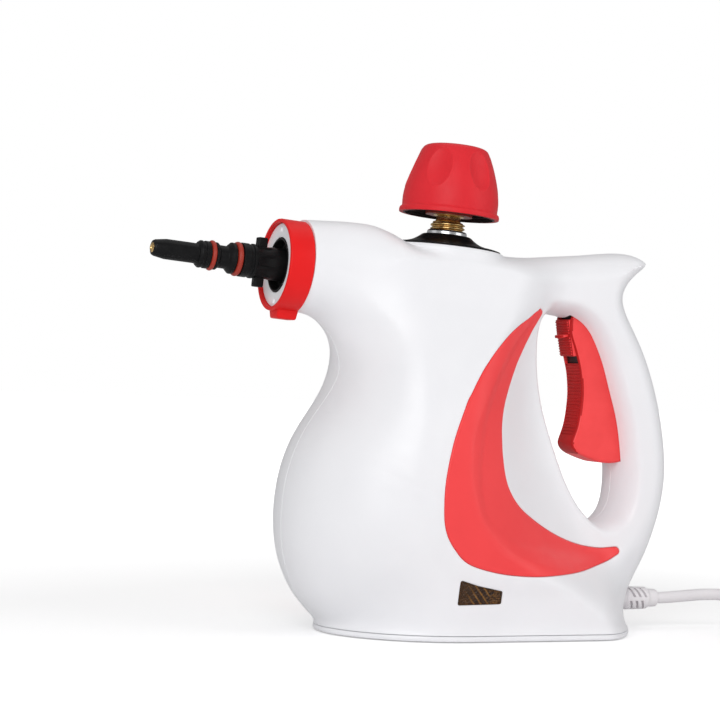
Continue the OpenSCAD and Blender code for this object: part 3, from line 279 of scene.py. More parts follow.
def lens_material():
    """Dark amber with painted gold glints for the light off the crossed prisms behind its face.
    """
    m = Nodes("amber_lens")
    split = m.new("ShaderNodeSeparateXYZ")
    m.feed(split.inputs[0], m.coord)
    x, z = split.outputs["X"], split.outputs["Z"]
    big = m.noise(scale=260.0, detail=3.0, rough=0.5)
    small = m.noise(scale=900.0, detail=4.0, rough=0.7)
    wobble = m.math("MULTIPLY", m.math("SUBTRACT", m.noise(scale=420.0, detail=2.0), 0.5), 0.22)
    lines = []
    for slope, pitch in ((0.85, 0.0039), (-1.6, 0.0013)):
        u = m.math("DIVIDE", m.math("ADD", x, m.math("MULTIPLY", z, slope)), pitch)
        saw = m.math("SUBTRACT", m.math("FRACT", m.math("ADD", u, wobble)), 0.5)
        wave = m.math("MULTIPLY", m.math("ABSOLUTE", saw), 2.0)
        lines.append(m.ramp(wave, span=(0.62, 0.92)))
    # painted glints: wide ones in the middle, a fine hatch towards -X, a mottled glow towards +X
    middle = m.math("MULTIPLY", m.ramp(x, span=(-0.034, -0.029)),
                    m.ramp(x, span=(-0.022, -0.018), to=(1.0, 0.0)))
    hatch = m.math("MULTIPLY", lines[1], m.ramp(x, span=(-0.031, -0.027), to=(0.45, 0.0)))
    glow = m.math("MULTIPLY", m.ramp(small, span=(0.45, 0.62), to=(0.0, 0.6)),
                  m.ramp(x, span=(-0.024, -0.018)))
    painted_glint = m.math("MAXIMUM", m.math("MULTIPLY", lines[0], middle), hatch)
    painted_glint = m.math("MAXIMUM", painted_glint, glow)
    painted_glint = m.math("MULTIPLY", painted_glint, m.ramp(big, span=(0.35, 0.6), to=(0.45, 1.0)))
    tint = m.mix(m.ramp(small, span=(0.35, 0.65)), (0.014, 0.006, 0.003), (0.050, 0.020, 0.006))
    tint = m.mix(m.math("MULTIPLY", painted_glint, 0.9), tint, (0.30, 0.135, 0.028))
    m.put(Base_Color=tint, Roughness=m.ramp(small, to=(0.16, 0.32)), IOR=1.5,
          Specular_IOR_Level=0.18, Coat_Weight=0.08, Coat_Roughness=0.10)
    m.bump(small, strength=0.25, distance=0.00006)
    return m.mat


def lamp_material():
    m = Nodes("neon_lamp")
    drift = m.ramp(m.noise(scale=500.0))
    m.put(Base_Color=m.mix(drift, (0.85, 0.30, 0.06), (0.95, 0.50, 0.16)), Roughness=0.08,
          Transmission_Weight=0.6, IOR=1.5)
    return m.mat


AMBER, LAMP = lens_material(), lamp_material()


# ---------------------------------------------------------------- mesh helpers
def make(verts, faces, name="tool", clean=True):
    mesh = bpy.data.meshes.new(name)
    mesh.from_pydata((np.asarray(verts, float) * MM).tolist(), [],
                     [list(map(int, face)) for face in faces])
    obj = bpy.data.objects.new(name, mesh)
    bpy.context.scene.collection.objects.link(obj)
    if clean:
        bm = bmesh.new()
        bm.from_mesh(mesh)
        bmesh.ops.remove_doubles(bm, verts=bm.verts, dist=1e-7)
        bmesh.ops.dissolve_degenerate(bm, edges=bm.edges, dist=1e-8)
        bmesh.ops.recalc_face_normals(bm, faces=bm.faces)
        bm.to_mesh(mesh)
        bm.free()
    shade(obj)
    return obj


def shade(obj, angle=32.0):
    mesh = obj.data
    mesh.polygons.foreach_set("use_smooth", np.ones(len(mesh.polygons), bool))
    mesh.set_sharp_from_angle(angle=math.radians(angle))
    mesh.update()


def discard(obj):
    mesh = obj.data
    bpy.data.objects.remove(obj)
    bpy.data.meshes.remove(mesh)


def bake(obj):
    graph = bpy.context.evaluated_depsgraph_get()
    graph.update()
    mesh = bpy.data.meshes.new_from_object(obj.evaluated_get(graph))
    old = obj.data
    obj.modifiers.clear()
    obj.data = mesh
    mesh.name = obj.name
    bpy.data.meshes.remove(old)


def cut(obj, tools, operation="DIFFERENCE"):
    """Boolean of obj with each tool in turn; the tools are removed after."""
    for tool in tools if isinstance(tools, list) else [tools]:
        before = len(obj.data.vertices)
        # the fast solver can leave the mesh untouched; then the exact one is used
        for solver in ("MANIFOLD", "EXACT"):
            mod = obj.modifiers.new("b", "BOOLEAN")
            mod.operation, mod.object, mod.solver = operation, tool, solver
            bake(obj)
            if len(obj.data.vertices) != before:
                break
        discard(tool)
    return obj


def dress(obj, mat, smooth=32.0, body="housing"):
    """Finishes a piece. One named vis_... stands in for the CAD node of that name."""
    obj.data.materials.clear()
    obj.data.materials.append(mat)
    shade(obj, smooth)
    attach(obj, body)
    if obj.name.startswith("vis_"):
        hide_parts(obj.name[4:])
    return obj


def rounded(points, default=0.0, steps=4):
    """Closed profile of (r, z[, corner radius]) with its corners filleted."""
    radii = [p[2] if len(p) > 2 else default for p in points]
    out = []
    count = len(points)
    for i in range(count):
        before, corner, after = (np.array(points[(i + k) % count][:2], float)
                                 for k in (-1, 0, 1))
        radius = radii[i]
        u, v = before - corner, after - corner
        len_u, len_v = np.linalg.norm(u), np.linalg.norm(v)
        if radius <= 0 or len_u < 1e-9 or len_v < 1e-9:
            out.append(corner)
            continue
        u, v = u / len_u, v / len_v
        half = math.acos(float(np.clip(u @ v, -1, 1))) / 2
        if half > math.radians(88) or half < math.radians(3):
            out.append(corner)
            continue
        trim = min(radius / math.tan(half), len_u * 0.49, len_v * 0.49)
        radius = trim * math.tan(half)
        centre = corner + unit(u + v) * (radius / math.sin(half))
        start, end = corner + u * trim - centre, corner + v * trim - centre
        from_angle, to_angle = math.atan2(start[1], start[0]), math.atan2(end[1], end[0])
        sweep_angle = (to_angle - from_angle + math.pi) % (2 * math.pi) - math.pi
        for k in range(steps + 1):
            w = from_angle + sweep_angle * k / steps
            out.append(centre + radius * np.array([math.cos(w), math.sin(w)]))
    return np.array(out)


def refine(points, step):
    """Splits long straight runs of a closed profile."""
    out = []
    for start, end in zip(points, np.roll(points, -1, 0)):
        pieces = max(1, int(np.ceil(np.linalg.norm(end - start) / step)))
        for j in range(pieces):
            out.append(start + (end - start) * j / pieces)
    return np.array(out)


def ring_ids(k, count):
    return range(k * count, (k + 1) * count)


def band(first, second):
    """Quads between two closed rings of vertex numbers."""
    n = len(first)
    return [(first[i], first[(i + 1) % n], second[(i + 1) % n], second[i]) for i in range(n)]


def turned(profile, place, segments=128, name="tool", shape=None):
    """Closed profile of (r, z) turned about local z. shape(r, z, angle) may move r."""
    profile = np.asarray(profile, float)
    rows = len(profile)
    angle = np.repeat((np.arange(segments) * 2 * math.pi / segments)[None, :], rows, 0)
    r = np.repeat(profile[:, :1], segments, 1)
    z = np.repeat(profile[:, 1:2], segments, 1)
    if shape is not None:
        r = shape(r, z, angle)
    verts = np.stack([r * np.cos(angle), r * np.sin(angle), z], -1).reshape(-1, 3)
    faces = []
    for i in range(rows):
        j = (i + 1) % rows
        if profile[i][0] >= 1e-6 or profile[j][0] >= 1e-6:
            faces += band(ring_ids(i, segments), ring_ids(j, segments))
    return make(place(verts), faces, name)


def drum(radius, z0, z1, place, segments=64):
    return turned([(0, z0), (radius, z0), (radius, z1), (0, z1)], place, segments)


def prism(outline, half):
    """Outline of (x, z) drawn along y from -half to half."""
    n = len(outline)
    verts = [(p[0], y, p[1]) for y in (-half, half) for p in outline]
    faces = [tuple(range(n)), tuple(range(2 * n - 1, n - 1, -1))]
    return make(verts, faces + band(ring_ids(0, n), ring_ids(1, n)))


def bevel(obj, radius, segments):
    bm = bmesh.new()
    bm.from_mesh(obj.data)
    bmesh.ops.bevel(bm, geom=list(bm.edges), offset=radius * MM, segments=segments,
                    profile=0.5, affect="EDGES")
    bmesh.ops.recalc_face_normals(bm, faces=bm.faces)
    bm.to_mesh(obj.data)
    bm.free()
    shade(obj)


def block(low, high, place=same, radius=0.0, segments=3):
    """Box with rounded edges."""
    verts = [(x, y, z) for z in (low[2], high[2]) for y in (low[1], high[1])
             for x in (low[0], high[0])]
    obj = make(place(np.array(verts, float)),
               [(0, 1, 3, 2), (4, 6, 7, 5), (0, 4, 5, 1), (2, 3, 7, 6), (0, 2, 6, 4),
                (1, 5, 7, 3)])
    if radius > 0:
        bevel(obj, radius, segments)
    return obj


def loft(rings, name="tool", place=same):
    """Closed rings of 3D points skinned in order and capped at both ends."""
    n = len(rings[0])
    faces = []
    for k in range(len(rings) - 1):
        faces += band(ring_ids(k, n), ring_ids(k + 1, n))
    faces += [tuple(range(n)), tuple(ring_ids(len(rings) - 1, n))]
    return make(place(np.vstack(rings)), faces, name)


def join(objs, name="tool"):
    verts, faces, start = [], [], 0
    for obj in objs:
        verts += [tuple(v.co) for v in obj.data.vertices]
        faces += [tuple(i + start for i in p.vertices) for p in obj.data.polygons]
        start = len(verts)
        discard(obj)
    return make(np.array(verts) / MM, faces, name, clean=False)


# ---------------------------------------------------------------- body tables
# Side outline of the body: x, z, width of the edge rounding
OUTLINE = np.array([
    (-110, 209.2, 23), (-97, 209.4, 23.5), (-83, 209.5, 24), (-70, 208.6, 24),
    (-60, 205.2, 20), (-51, 200.6, 12), (-38, 199.6, 10), (-22, 198.4, 10), (-6, 197.2, 10),
    (8, 196.3, 12), (20, 196.4, 14), (34, 197.6, 15), (50, 199, 15), (64, 200.6, 14),
    (74, 201.4, 13), (82.5, 200.6, 11), (88, 197.4, 9), (87, 193, 9), (81.8, 188.2, 10),
    (77.4, 182.5, 12), (75.9, 176.5, 13), (78.5, 169.5, 14), (83.4, 161, 14), (88.9, 151, 14),
    (93.8, 140, 14), (98, 128, 14), (101.3, 116, 14), (103.7, 104, 14), (105.2, 92, 14),
    (105.4, 80, 14), (103.9, 67, 15), (100.8, 54, 17), (96.3, 41, 20), (90.7, 29, 25),
    (85.4, 18, 31), (82.5, 10, 36), (82.6, 3, 38), (82.6, -6, 38), (82.6, -16, 38),
    (53, -16, 38), (22, -16, 38), (-25, -16, 60), (-55, -16, 60), (-86, -16, 60),
    (-86, -6, 60), (-87.2, 3, 60), (-95, 11, 60), (-101.8, 19, 60), (-106.6, 28, 60),
    (-110.1, 38, 60), (-111.8, 48, 60), (-112.3, 58, 60), (-111.8, 68, 60), (-110.4, 78, 60),
    (-107.8, 88, 58), (-103.8, 98, 55), (-98.6, 107, 50), (-92.8, 115.5, 44),
    (-87.2, 124, 37), (-83.8, 132, 31), (-83.9, 140, 27), (-87, 148, 25), (-92.2, 155, 24),
    (-99.5, 160.4, 23), (-110, 162.8, 23), (-124, 164.4, 23), (-140, 165.5, 23),
    (-140, 207, 23), (-124, 208.6, 23)], float)
OPEN_FROM, OPEN_TO = 38, 43     # below the body, between these rows, the outline is open
# Handle opening: x, z
OPENING = np.array([
    (24.5, 163.5), (30, 167), (38, 166.8), (46, 164.8), (54.5, 158), (62, 144), (67.5, 128),
    (72.5, 112), (75.5, 95), (76.6, 80), (75, 68), (70.5, 61), (64, 58.2), (58.3, 60),
    (52.8, 65), (47.2, 72), (40.8, 83.2), (35.1, 96.3), (30.6, 107.8), (26.1, 121),
    (23.4, 134.3), (22.2, 147.7), (22.5, 157)], float)
# Inlay on each flank: x, z of its two edges between the rounded tips, and the crease across it
INLAY_OUT = np.array([
    (15.9, 168.3), (13.6, 167.2), (8.2, 163.9), (1.8, 160.8), (-4.3, 157.1), (-9, 153.7),
    (-13.6, 149.8), (-18.2, 145.6), (-22.5, 141), (-26.8, 136), (-31, 130.1), (-34.4, 124.9),
    (-38.1, 118.9), (-45.7, 101.1), (-50, 82.3), (-50.5, 66.6), (-48.6, 56.2), (-43.3, 47.7),
    (-34.7, 40.1), (-19.7, 35.6), (-2.1, 33.5), (18.4, 33.5), (42.3, 34.5), (62.2, 37.8),
    (70.6, 41.2)], float)
INLAY_IN = np.array([
    (20.2, 166.9), (19.2, 165.2), (16.5, 161.5), (13.7, 157.8), (10.9, 153.7), (8, 149.7),
    (4.6, 144.9), (1.5, 140.6), (-1.2, 136.1), (-4, 131.3), (-7, 125.9), (-9.7, 120.4),
    (-11.8, 114.2), (-12.8, 108.1), (-12.9, 101.9), (-12.3, 92.5), (-9.3, 79.6),
    (-1.4, 68.9), (12.1, 60.3), (28.6, 52.6), (44.5, 47.5), (59.4, 45.2), (69.4, 45.6)], float)
CREASE = np.array([
    (18.3, 167.2), (8, 159.5), (-6.6, 146.7), (-20.7, 129.2), (-30, 114), (-35, 101.7),
    (-35.6, 88), (-33.2, 72.1), (-25.5, 57.5), (-10, 45.5), (11, 38.8), (36, 37.8),
    (71, 43.5)], float)
LENS = [(-37.2, 31.9), (-27, 28.9), (-13.2, 26.1), (-13.1, 19.4), (-37, 18.9)]
# z, x where the half width starts and ends its fall to the handle
FALL_START = [(-20, 60), (4, 50), (20, 28), (35, -2), (50, -26), (75, -38), (100, -38),
              (125, -32), (150, -20), (167, -8), (185, 0), (210, 0)]
FALL_END = [(-20, 120), (4, 112), (20, 98), (35, 80), (50, 62), (75, 44), (100, 32),
            (125, 26), (150, 26), (167, 30), (185, 40), (210, 44)]
# z, half width ahead of the fall
HALF_WIDTH = [(-20, 50), (4, 51), (20, 54), (40, 58), (60, 61), (80, 61.5), (100, 60),
              (120, 56), (140, 49), (160, 40.5), (175, 34.5), (190, 32), (210, 32)]
# z, x round which the edge of the opening changes from soft to wide
CREASE_SIDE = [(-20, 70), (45, 66), (60, 62), (90, 56), (120, 47), (150, 38), (166, 30),
               (175, 22), (210, 22)]
# x, z of the screw bosses
BOSSES = [(-97, 66), (-78, 22), (30, 18), (90, 48), (96.5, 122), (70, 189), (22, 177.5),
          (-66, 198.5)]
HANDLE_HALF = 20
SNOUT_HALF = 23.3
WALL = 3.0
SOFT_EDGE = 4.8         # rounding ahead of the handle opening
FOOT_Z = -12.0          # the half shells are built down to here, then cut level
SEAM = 0.26             # the parting face is drawn in by this
EDGE_Y = [0.32, 0.9, 1.8, 3.0, 4.3, 5.8, 7.6, 9.6]      # levels of the rounded edge
FINE = 1.15


# ---------------------------------------------------------------- plane geometry
def spline(points, pieces=6, closed=True):
    """Catmull-Rom curve through points."""
    points = np.asarray(points, float)
    n = len(points)
    out = []
    for i in range(n if closed else n - 1):
        if closed:
            a, b, c, d = (points[(i + k) % n] for k in (-1, 0, 1, 2))
        else:
            a, b, c, d = (points[k] for k in (max(i - 1, 0), i, i + 1, min(i + 2, n - 1)))
        for t in np.arange(pieces) / pieces:
            out.append(0.5 * ((2 * b) + (c - a) * t + (2 * a - 5 * b + 4 * c - d) * t * t
                              + (3 * b - a - 3 * c + d) * t ** 3))
    if not closed:
        out.append(points[-1])
    return np.array(out)


def run_length(line):
    """Distance along a polyline at each point."""
    return np.concatenate([[0], np.cumsum(np.hypot(*np.diff(line[:, :2], axis=0).T))])


def even(line, step, closed=True):
    """Points at even spacing along a polyline."""
    if closed:
        line = np.vstack([line, line[:1]])
    run = run_length(line)
    at = np.linspace(0, run[-1], max(3, int(round(run[-1] / step))) + 1)
    if closed:
        at = at[:-1]
    return np.stack([np.interp(at, run, line[:, k]) for k in range(line.shape[1])], 1)


def line_dist(points, line, closed=True):
    """Distance from points to a polyline, and the line's third column there."""
    starts, ends = (line, np.roll(line, -1, 0)) if closed else (line[:-1], line[1:])
    best = np.full(len(points), 1e18)
    third = np.zeros(len(points))
    for a, b in zip(starts, ends):
        dx, dz = b[0] - a[0], b[1] - a[1]
        square = dx * dx + dz * dz
        if square < 1e-14:
            continue
        x, z = points[:, 0] - a[0], points[:, 1] - a[1]
        t = np.clip((x * dx + z * dz) / square, 0, 1)
        gap = (x - t * dx) ** 2 + (z - t * dz) ** 2
        near = gap < best
        best[near] = gap[near]
        if line.shape[1] > 2:
            third[near] = a[2] + (b[2] - a[2]) * t[near]
    return np.sqrt(best), third


def inside(points, loop):
    x, z = points[:, 0], points[:, 1]
    odd = np.zeros(len(points), bool)
    for i in range(len(loop)):
        xi, zi, xj, zj = loop[i][0], loop[i][1], loop[i - 1][0], loop[i - 1][1]
        if zi != zj:
            odd ^= ((zi > z) != (zj > z)) & (x < (xj - xi) * (z - zi) / (zj - zi) + xi)
    return odd


def between(outer, inner):
    return lambda points: inside(points, outer) & ~inside(points, inner)


def signed(points, loop):
    """Distance to a loop, negative inside it."""
    dist, _ = line_dist(points, loop)
    return np.where(inside(points, loop), -dist, dist)


def ease(start, end, x):
    t = np.clip((x - start) / (end - start), 0, 1)
    return t * t * (3 - 2 * t)


def table(z, stations):
    """Smooth curve through a table of (z, value)."""
    knots = np.array(stations, float)
    at, value = knots[:, 0], knots[:, 1]
    n = len(knots)
    z = np.clip(np.asarray(z, float), at[0], at[-1])
    i = np.clip(np.searchsorted(at, z, side="right") - 1, 0, n - 2)
    pairs = [(max(k - 1, 0), min(k + 1, n - 1)) for k in range(n)]
    slope = np.array([(value[k] - value[j]) / (at[k] - at[j]) for j, k in pairs])
    gap = at[i + 1] - at[i]
    u = (z - at[i]) / gap
    return ((2 * u ** 3 - 3 * u ** 2 + 1) * value[i] + (u ** 3 - 2 * u ** 2 + u) * gap * slope[i]
            + (3 * u ** 2 - 2 * u ** 3) * value[i + 1] + (u ** 3 - u ** 2) * gap * slope[i + 1])


def arch(s):
    """Quarter circle rising from 0 to 1."""
    t = 1 - np.clip(s, 0, 1)
    return np.sqrt(np.maximum(1 - t * t, 0))


def smooth_min(a, b, k):
    h = np.clip(0.5 + 0.5 * (b - a) / k, 0, 1)
    return b + (a - b) * h - k * h * (1 - h)


def outward(loop):
    """Outward normals of a closed polyline."""
    tangent = unit_rows(np.roll(loop, -1, 0) - np.roll(loop, 1, 0))
    area = 0.5 * np.sum(loop[:, 0] * np.roll(loop[:, 1], -1)
                        - np.roll(loop[:, 0], -1) * loop[:, 1])
    return (1.0 if area > 0 else -1.0) * np.stack([tangent[:, 1], -tangent[:, 0]], 1)


def offset(loop, dist):
    return loop + dist * outward(loop)


def right_of(line):
    """Normals to the right of an open polyline."""
    tangent = unit_rows(np.gradient(line[:, :2], axis=0))
    return np.stack([tangent[:, 1], -tangent[:, 0]], 1)


def hexgrid(low, high, step):
    zs = np.arange(low[1], high[1], step * 0.866)
    x, z = np.meshgrid(np.arange(low[0], high[0], step), zs)
    x = x + (np.arange(len(zs)) % 2)[:, None] * step / 2
    return np.stack([x.ravel(), z.ravel()], 1)


def triangulate(loops, loose, keep, line=None):
    """Triangles over closed loops, loose points and an open line.

    Returns the points, the triangles and the point numbers of each loop."""
    points, edges, spans = [], [], []
    for chain in loops + ([] if line is None else [line]):
        start, n = len(points), len(chain)
        points += [Vector((float(p[0]), float(p[1]))) for p in chain]
        edges += [(start + i, start + (i + 1) % n) for i in range(n - (chain is line))]
        spans.append(range(start, start + n))
    points += [Vector((float(p[0]), float(p[1]))) for p in loose]
    out, _, faces, sources, _, _ = delaunay_2d_cdt(points, edges, [], 0, 1e-5)
    back = {s: i for i, group in enumerate(sources) for s in group}
    flat = np.array([(v[0], v[1]) for v in out])
    tris = np.array([f for f in faces if len(f) == 3])
    a, b, c = (flat[tris][:, k] for k in range(3))
    area = np.abs((b[:, 0] - a[:, 0]) * (c[:, 1] - a[:, 1])
                  - (c[:, 0] - a[:, 0]) * (b[:, 1] - a[:, 1]))
    tris = tris[keep(flat[tris].mean(1)) & (area > 1e-9)]
    return flat, tris, [[back[k] for k in span] for span in spans]


def lift(flat, y):
    """Side plane points (x, z) given their y."""
    return np.stack([flat[:, 0], np.broadcast_to(y, len(flat)), flat[:, 1]], 1)


def plate(flat, tris, loops, top, bottom, side, name="tool"):
    """Solid between two heights over the same triangles, walled along the loops."""
    n = len(flat)
    faces = [tuple(t) for t in tris.tolist()]
    faces += [tuple(n + k for k in t[::-1]) for t in tris.tolist()]
    for loop in loops:
        faces += band(loop, [n + k for k in loop])
    return make(np.vstack([lift(flat, top * side), lift(flat, bottom * side)]), faces, name)


# ---------------------------------------------------------------- body surface
def tip(start, end, bulge):
    """Rounded tip between the ends of the two edges of the inlay."""
    centre, half = (start + end) / 2, (end - start) / 2
    normal = np.array([-half[1], half[0]])
    return [centre - half * math.cos(math.pi * k / 7) + bulge * normal * math.sin(math.pi * k / 7)
            for k in range(1, 7)]


OUT = spline(OUTLINE)
# open at the bottom, clockwise from the lower front round to the lower rear
OUT_SIDE = np.vstack([OUT[OPEN_TO * 6:], OUT[:OPEN_FROM * 6 + 1]])
OPEN = spline(OPENING)
inlay_outer, inlay_inner = spline(INLAY_OUT, 8, False), spline(INLAY_IN, 8, False)
INLAY = np.vstack([inlay_outer, tip(inlay_outer[-1], inlay_inner[-1], -1.0),
                   inlay_inner[::-1], tip(inlay_inner[0], inlay_outer[0], -0.7)])
CREASE_LINE = spline(CREASE, 6, False)
LENS_LINE = rounded(LENS, 0.9, 6)


def plateau(x, z):
    """Half width of the body before its edges are rounded."""
    wide = 1 - ease(table(z, FALL_START), table(z, FALL_END), x)
    snout = (1 - ease(-96, -50, x)) * ease(128, 158, z)
    full = HANDLE_HALF + (table(z, HALF_WIDTH) - HANDLE_HALF) * wide
    return full * (1 - snout) + SNOUT_HALF * snout


def rear_share(points):
    """0 ahead of the crease side, 1 behind it."""
    return ease(-6, 8, points[:, 0] - table(points[:, 1], CREASE_SIDE))


def base_height(points, inset=0.0):
    """Half thickness of the body at points, drawn in by inset."""
    x, z = points[:, 0], points[:, 1]
    dist, width = line_dist(points, OUT_SIDE, False)
    full = plateau(x, z) - inset
    flank = full * arch((dist - inset) / (width - inset))
    gap = np.maximum(signed(points, OPEN) - inset, 0)
    rear = rear_share(points)
    if inset > 0:
        height = flank * arch(gap / (SOFT_EDGE * (1 - rear) + 10 * rear))
    else:
        # round shoulder below the collar of the filler
        dx, dz = x - CROSSING[0], z - CROSSING[2]
        u, v = dx * -FORWARD[0] + dz * -FORWARD[2], dx * UP[0] + dz * UP[2]
        pad = np.sqrt(np.maximum(31.2 ** 2 - u * u, 0)) * arch((20.3 - v) / 3.2)
        pad = pad * (v < 20.3) * (v > -6)
        blended = -smooth_min(-flank, -pad, 4.0 * ease(0, 9, pad) + 1e-6)
        flank = np.where(pad > 0, blended, flank)
        soft = flank * arch(gap / SOFT_EDGE)
        hard = smooth_min(flank, full * 1.045 * arch(gap / 10.6), 0.9)
        height = soft * (1 - rear) + hard * rear
    return np.maximum(np.where(gap <= 0, 0, height), 0)


def flare(verts):
    """The foot of the body runs out to the edge of the base plate."""
    verts = verts.copy()
    z = verts[:, 2]
    out = 1.9 * np.exp(-np.maximum(z - 3.4, 0) / 2.6) * (1 - ease(12, 20, z))
    normal = np.stack([(verts[:, 0] + 2.3) / 85 ** 2, verts[:, 1] / 52 ** 2], 1)
    normal /= np.maximum(np.linalg.norm(normal, axis=1), 1e-9)[:, None]
    verts[:, :2] += out[:, None] * normal
    return verts


def relief(points):
    """Signed distance to the inlay, the raised rim outside it, and its softened lip."""
    dist = signed(points, INLAY)
    to_outer, _ = line_dist(points, inlay_outer, False)
    to_inner, _ = line_dist(points, inlay_inner, False)
    share = 1 - ease(-5, 5, to_outer - to_inner)
    out = np.maximum(dist, 0)
    rim = 1.25 * share * (1 - ease(2.0, 12.5, out))
    return dist, rim, -0.35 * np.clip(1 - out / 0.55, 0, 1) ** 2


def edge_drop(depth, radius):
    """Drop of a rounded edge at a depth inside its line."""
    return radius * (arch(depth / radius) - 1)


# ---------------------------------------------------------------- housing halves
def shoulder(line, normals, width):
    """Rings of the rounded edge at the levels EDGE_Y."""
    thick = plateau(line[:, 0], line[:, 1])
    rings = [line[:, :2]]
    for y in EDGE_Y[1:]:
        draw = width * (1 - np.sqrt(np.maximum(1 - (y / thick) ** 2, 0)))
        rings.append(line[:, :2] + normals * draw[:, None])
    return rings


def pocket(dist, low_ids, high_ids):
    """Points on the floor of a pocket; its two wall loops are told apart exactly."""
    low = dist < -0.03
    low[low_ids] = True
    low[high_ids] = False
    return low


def body_solid(side, name):
    """One half of the body as a closed solid, outer skin and parting face."""
    edge = even(OUT_SIDE, 0.9, False)
    edge = edge[edge[:, 1] > FOOT_Z + 0.4]
    edge = np.vstack([[edge[0, 0], FOOT_Z, edge[0, 2]], edge, [edge[-1, 0], FOOT_Z, edge[-1, 2]]])
    edge_in = right_of(edge)
    edge_in[0], edge_in[-1] = (1, 0), (-1, 0)
    hole = even(OPEN, 0.8)
    hole_out = outward(hole)
    edge_rings = shoulder(edge, edge_in, edge[:, 2])
    hole_rings = shoulder(hole, hole_out, SOFT_EDGE + (10.3 - SOFT_EDGE) * rear_share(hole))
    top, hole_top = edge_rings[-1], hole_rings[-1]
    bottom = np.stack([np.linspace(top[-1, 0], top[0, 0], 90), np.full(90, FOOT_Z)], 1)[1:-1]
    border = np.vstack([top, bottom])
    inlay = even(INLAY, 0.8)
    loops = [border, hole_top] + [offset(inlay, k) for k in (-0.06, 0.0, 0.14, 0.32, 0.6)]
    lens = side < 0
    if lens:
        lens_loop = even(LENS_LINE, 0.5)
        loops += [offset(lens_loop, k) for k in (-0.05, 0.0, 0.2, 0.45)]
    skin = between(border, hole_top)
    grid = np.vstack([hexgrid((-113, FOOT_Z + 0.8), (108, 212), FINE),
                      hexgrid((-139, 166), (-113.4, 208), 3.0)])
    grid = grid[skin(grid)]
    clear = ((line_dist(grid, border)[0] > 0.55 * FINE)
             & (line_dist(grid, hole_top)[0] > 0.55 * FINE))
    dist = signed(grid, inlay)
    clear &= (dist > 1.0) | (dist < -0.5)
    if lens:
        dist = signed(grid, lens_loop)
        clear &= (dist > 0.8) | (dist < -0.5)
    flat, tris, ids = triangulate(loops, grid[clear], skin)

    height = base_height(flat)
    dist, rim, lip = relief(flat)
    height = (height + rim * ease(2.0, 9.0, height)
              + np.where(pocket(dist, ids[2], ids[3]), -1.5, lip))
    if lens:
        dist = signed(flat, lens_loop)
        lip = -0.25 * np.clip(1 - np.maximum(dist, 0) / 0.45, 0, 1) ** 2
        height = height + np.where(pocket(dist, ids[7], ids[8]), -2.6, lip)
    top_ids = ids[0][:len(top)]
    height[top_ids] = height[ids[1]] = EDGE_Y[-1]
    verts, faces = [lift(flat, height)], [tris]
    total = len(flat)

    def add_ring(ring, y):
        nonlocal total
        verts.append(lift(ring, y))
        total += len(ring)
        return list(range(total - len(ring), total))

    def strip(first, second, closed):
        a, b = np.asarray(first), np.asarray(second)
        i = np.arange(len(a) if closed else len(a) - 1)
        j = (i + 1) % len(a)
        faces.append(np.stack([a[i], a[j], b[j]], 1))
        faces.append(np.stack([a[i], b[j], b[i]], 1))

    stacks = []
    for rings, closed, inner in ((edge_rings, False, top_ids), (hole_rings, True, ids[1])):
        stack = [inner]
        for ring, y in zip(rings[-2::-1], EDGE_Y[-2::-1]):
            stack.append(add_ring(ring, y))
            strip(stack[-2], stack[-1], closed)
        stacks.append(stack)
    # parting face, a little below the edge so that the seam is a fine groove
    seam = edge_rings[0] + edge_in * SEAM
    seam[0, 1] = seam[-1, 1] = FOOT_Z
    hole_seam = hole_rings[0] + hole_out * SEAM
    seam_ids = add_ring(seam, 0.05)
    hole_ids = add_ring(hole_seam, 0.05)
    strip(stacks[0][-1], seam_ids, False)
    strip(stacks[1][-1], hole_ids, True)
    _, face_tris, face_ids = triangulate([seam, hole_seam], [], between(seam, hole_seam))
    number = dict(zip(face_ids[0] + face_ids[1], seam_ids + hole_ids))
    faces.append(np.array([[number[k] for k in t] for t in face_tris]))
    # bottom wall: one flat polygon
    rear = [ring[-1] for ring in stacks[0]]
    front = [ring[0] for ring in stacks[0]]
    wall = [seam_ids[0]] + front[::-1] + ids[0][len(top):][::-1] + rear + [seam_ids[-1]]
    verts = np.vstack(verts)
    verts[:, 1] *= side
    return make(flare(verts), [tuple(f) for group in faces for f in group.tolist()] + [wall],
                name)


def cavity_solid(side):
    """The hollow of one half."""
    foot = -14.0
    edge = even(OUT_SIDE, 2.4, False)[:, :2]
    inner = edge + right_of(edge) * WALL
    dist, _ = line_dist(inner, OUT_SIDE, False)
    inner = inner[(dist > WALL - 0.06) & (inner[:, 1] > foot + 1)]
    inner = np.vstack([[inner[0, 0], foot], inner, [inner[-1, 0], foot]])
    hole = offset(even(OPEN, 2.2), WALL)
    hollow = between(inner, hole)
    grid = hexgrid((-137, foot + 1), (106, 210), 3.0)
    grid = grid[hollow(grid)]
    grid = grid[(line_dist(grid, inner)[0] > 1.5) & (line_dist(grid, hole)[0] > 1.5)]
    flat, tris, ids = triangulate([inner, hole], grid, hollow)
    return plate(flat, tris, ids, np.maximum(base_height(flat, WALL), 0.1), -1.0, side)


COLLAR_SEAT = 20.05     # up the filler axis
SNOUT_BORE = 18.6
TRIGGER_HALF = 9.0
# x, z from the trigger pivot
TRIGGER_SLOT = [(-6.3, -16), (-6.5, -8), (-6.4, -4.9), (11, -3.8), (15, -18), (22, -32),
                (27, -48), (31, -64), (33.5, -78), (34.4, -85.9), (22, -85.9), (20, -60),
                (4, -18)]
# r, z of a screw hole, outward from the parting face
PILOT = [(0, -2), (1.7, -2), (1.7, 10), (0, 10)]
COUNTERBORE = [(0, -2), (1.8, -2), (1.8, 7.95), (3.1, 7.95), (3.1, 70), (0, 70)]


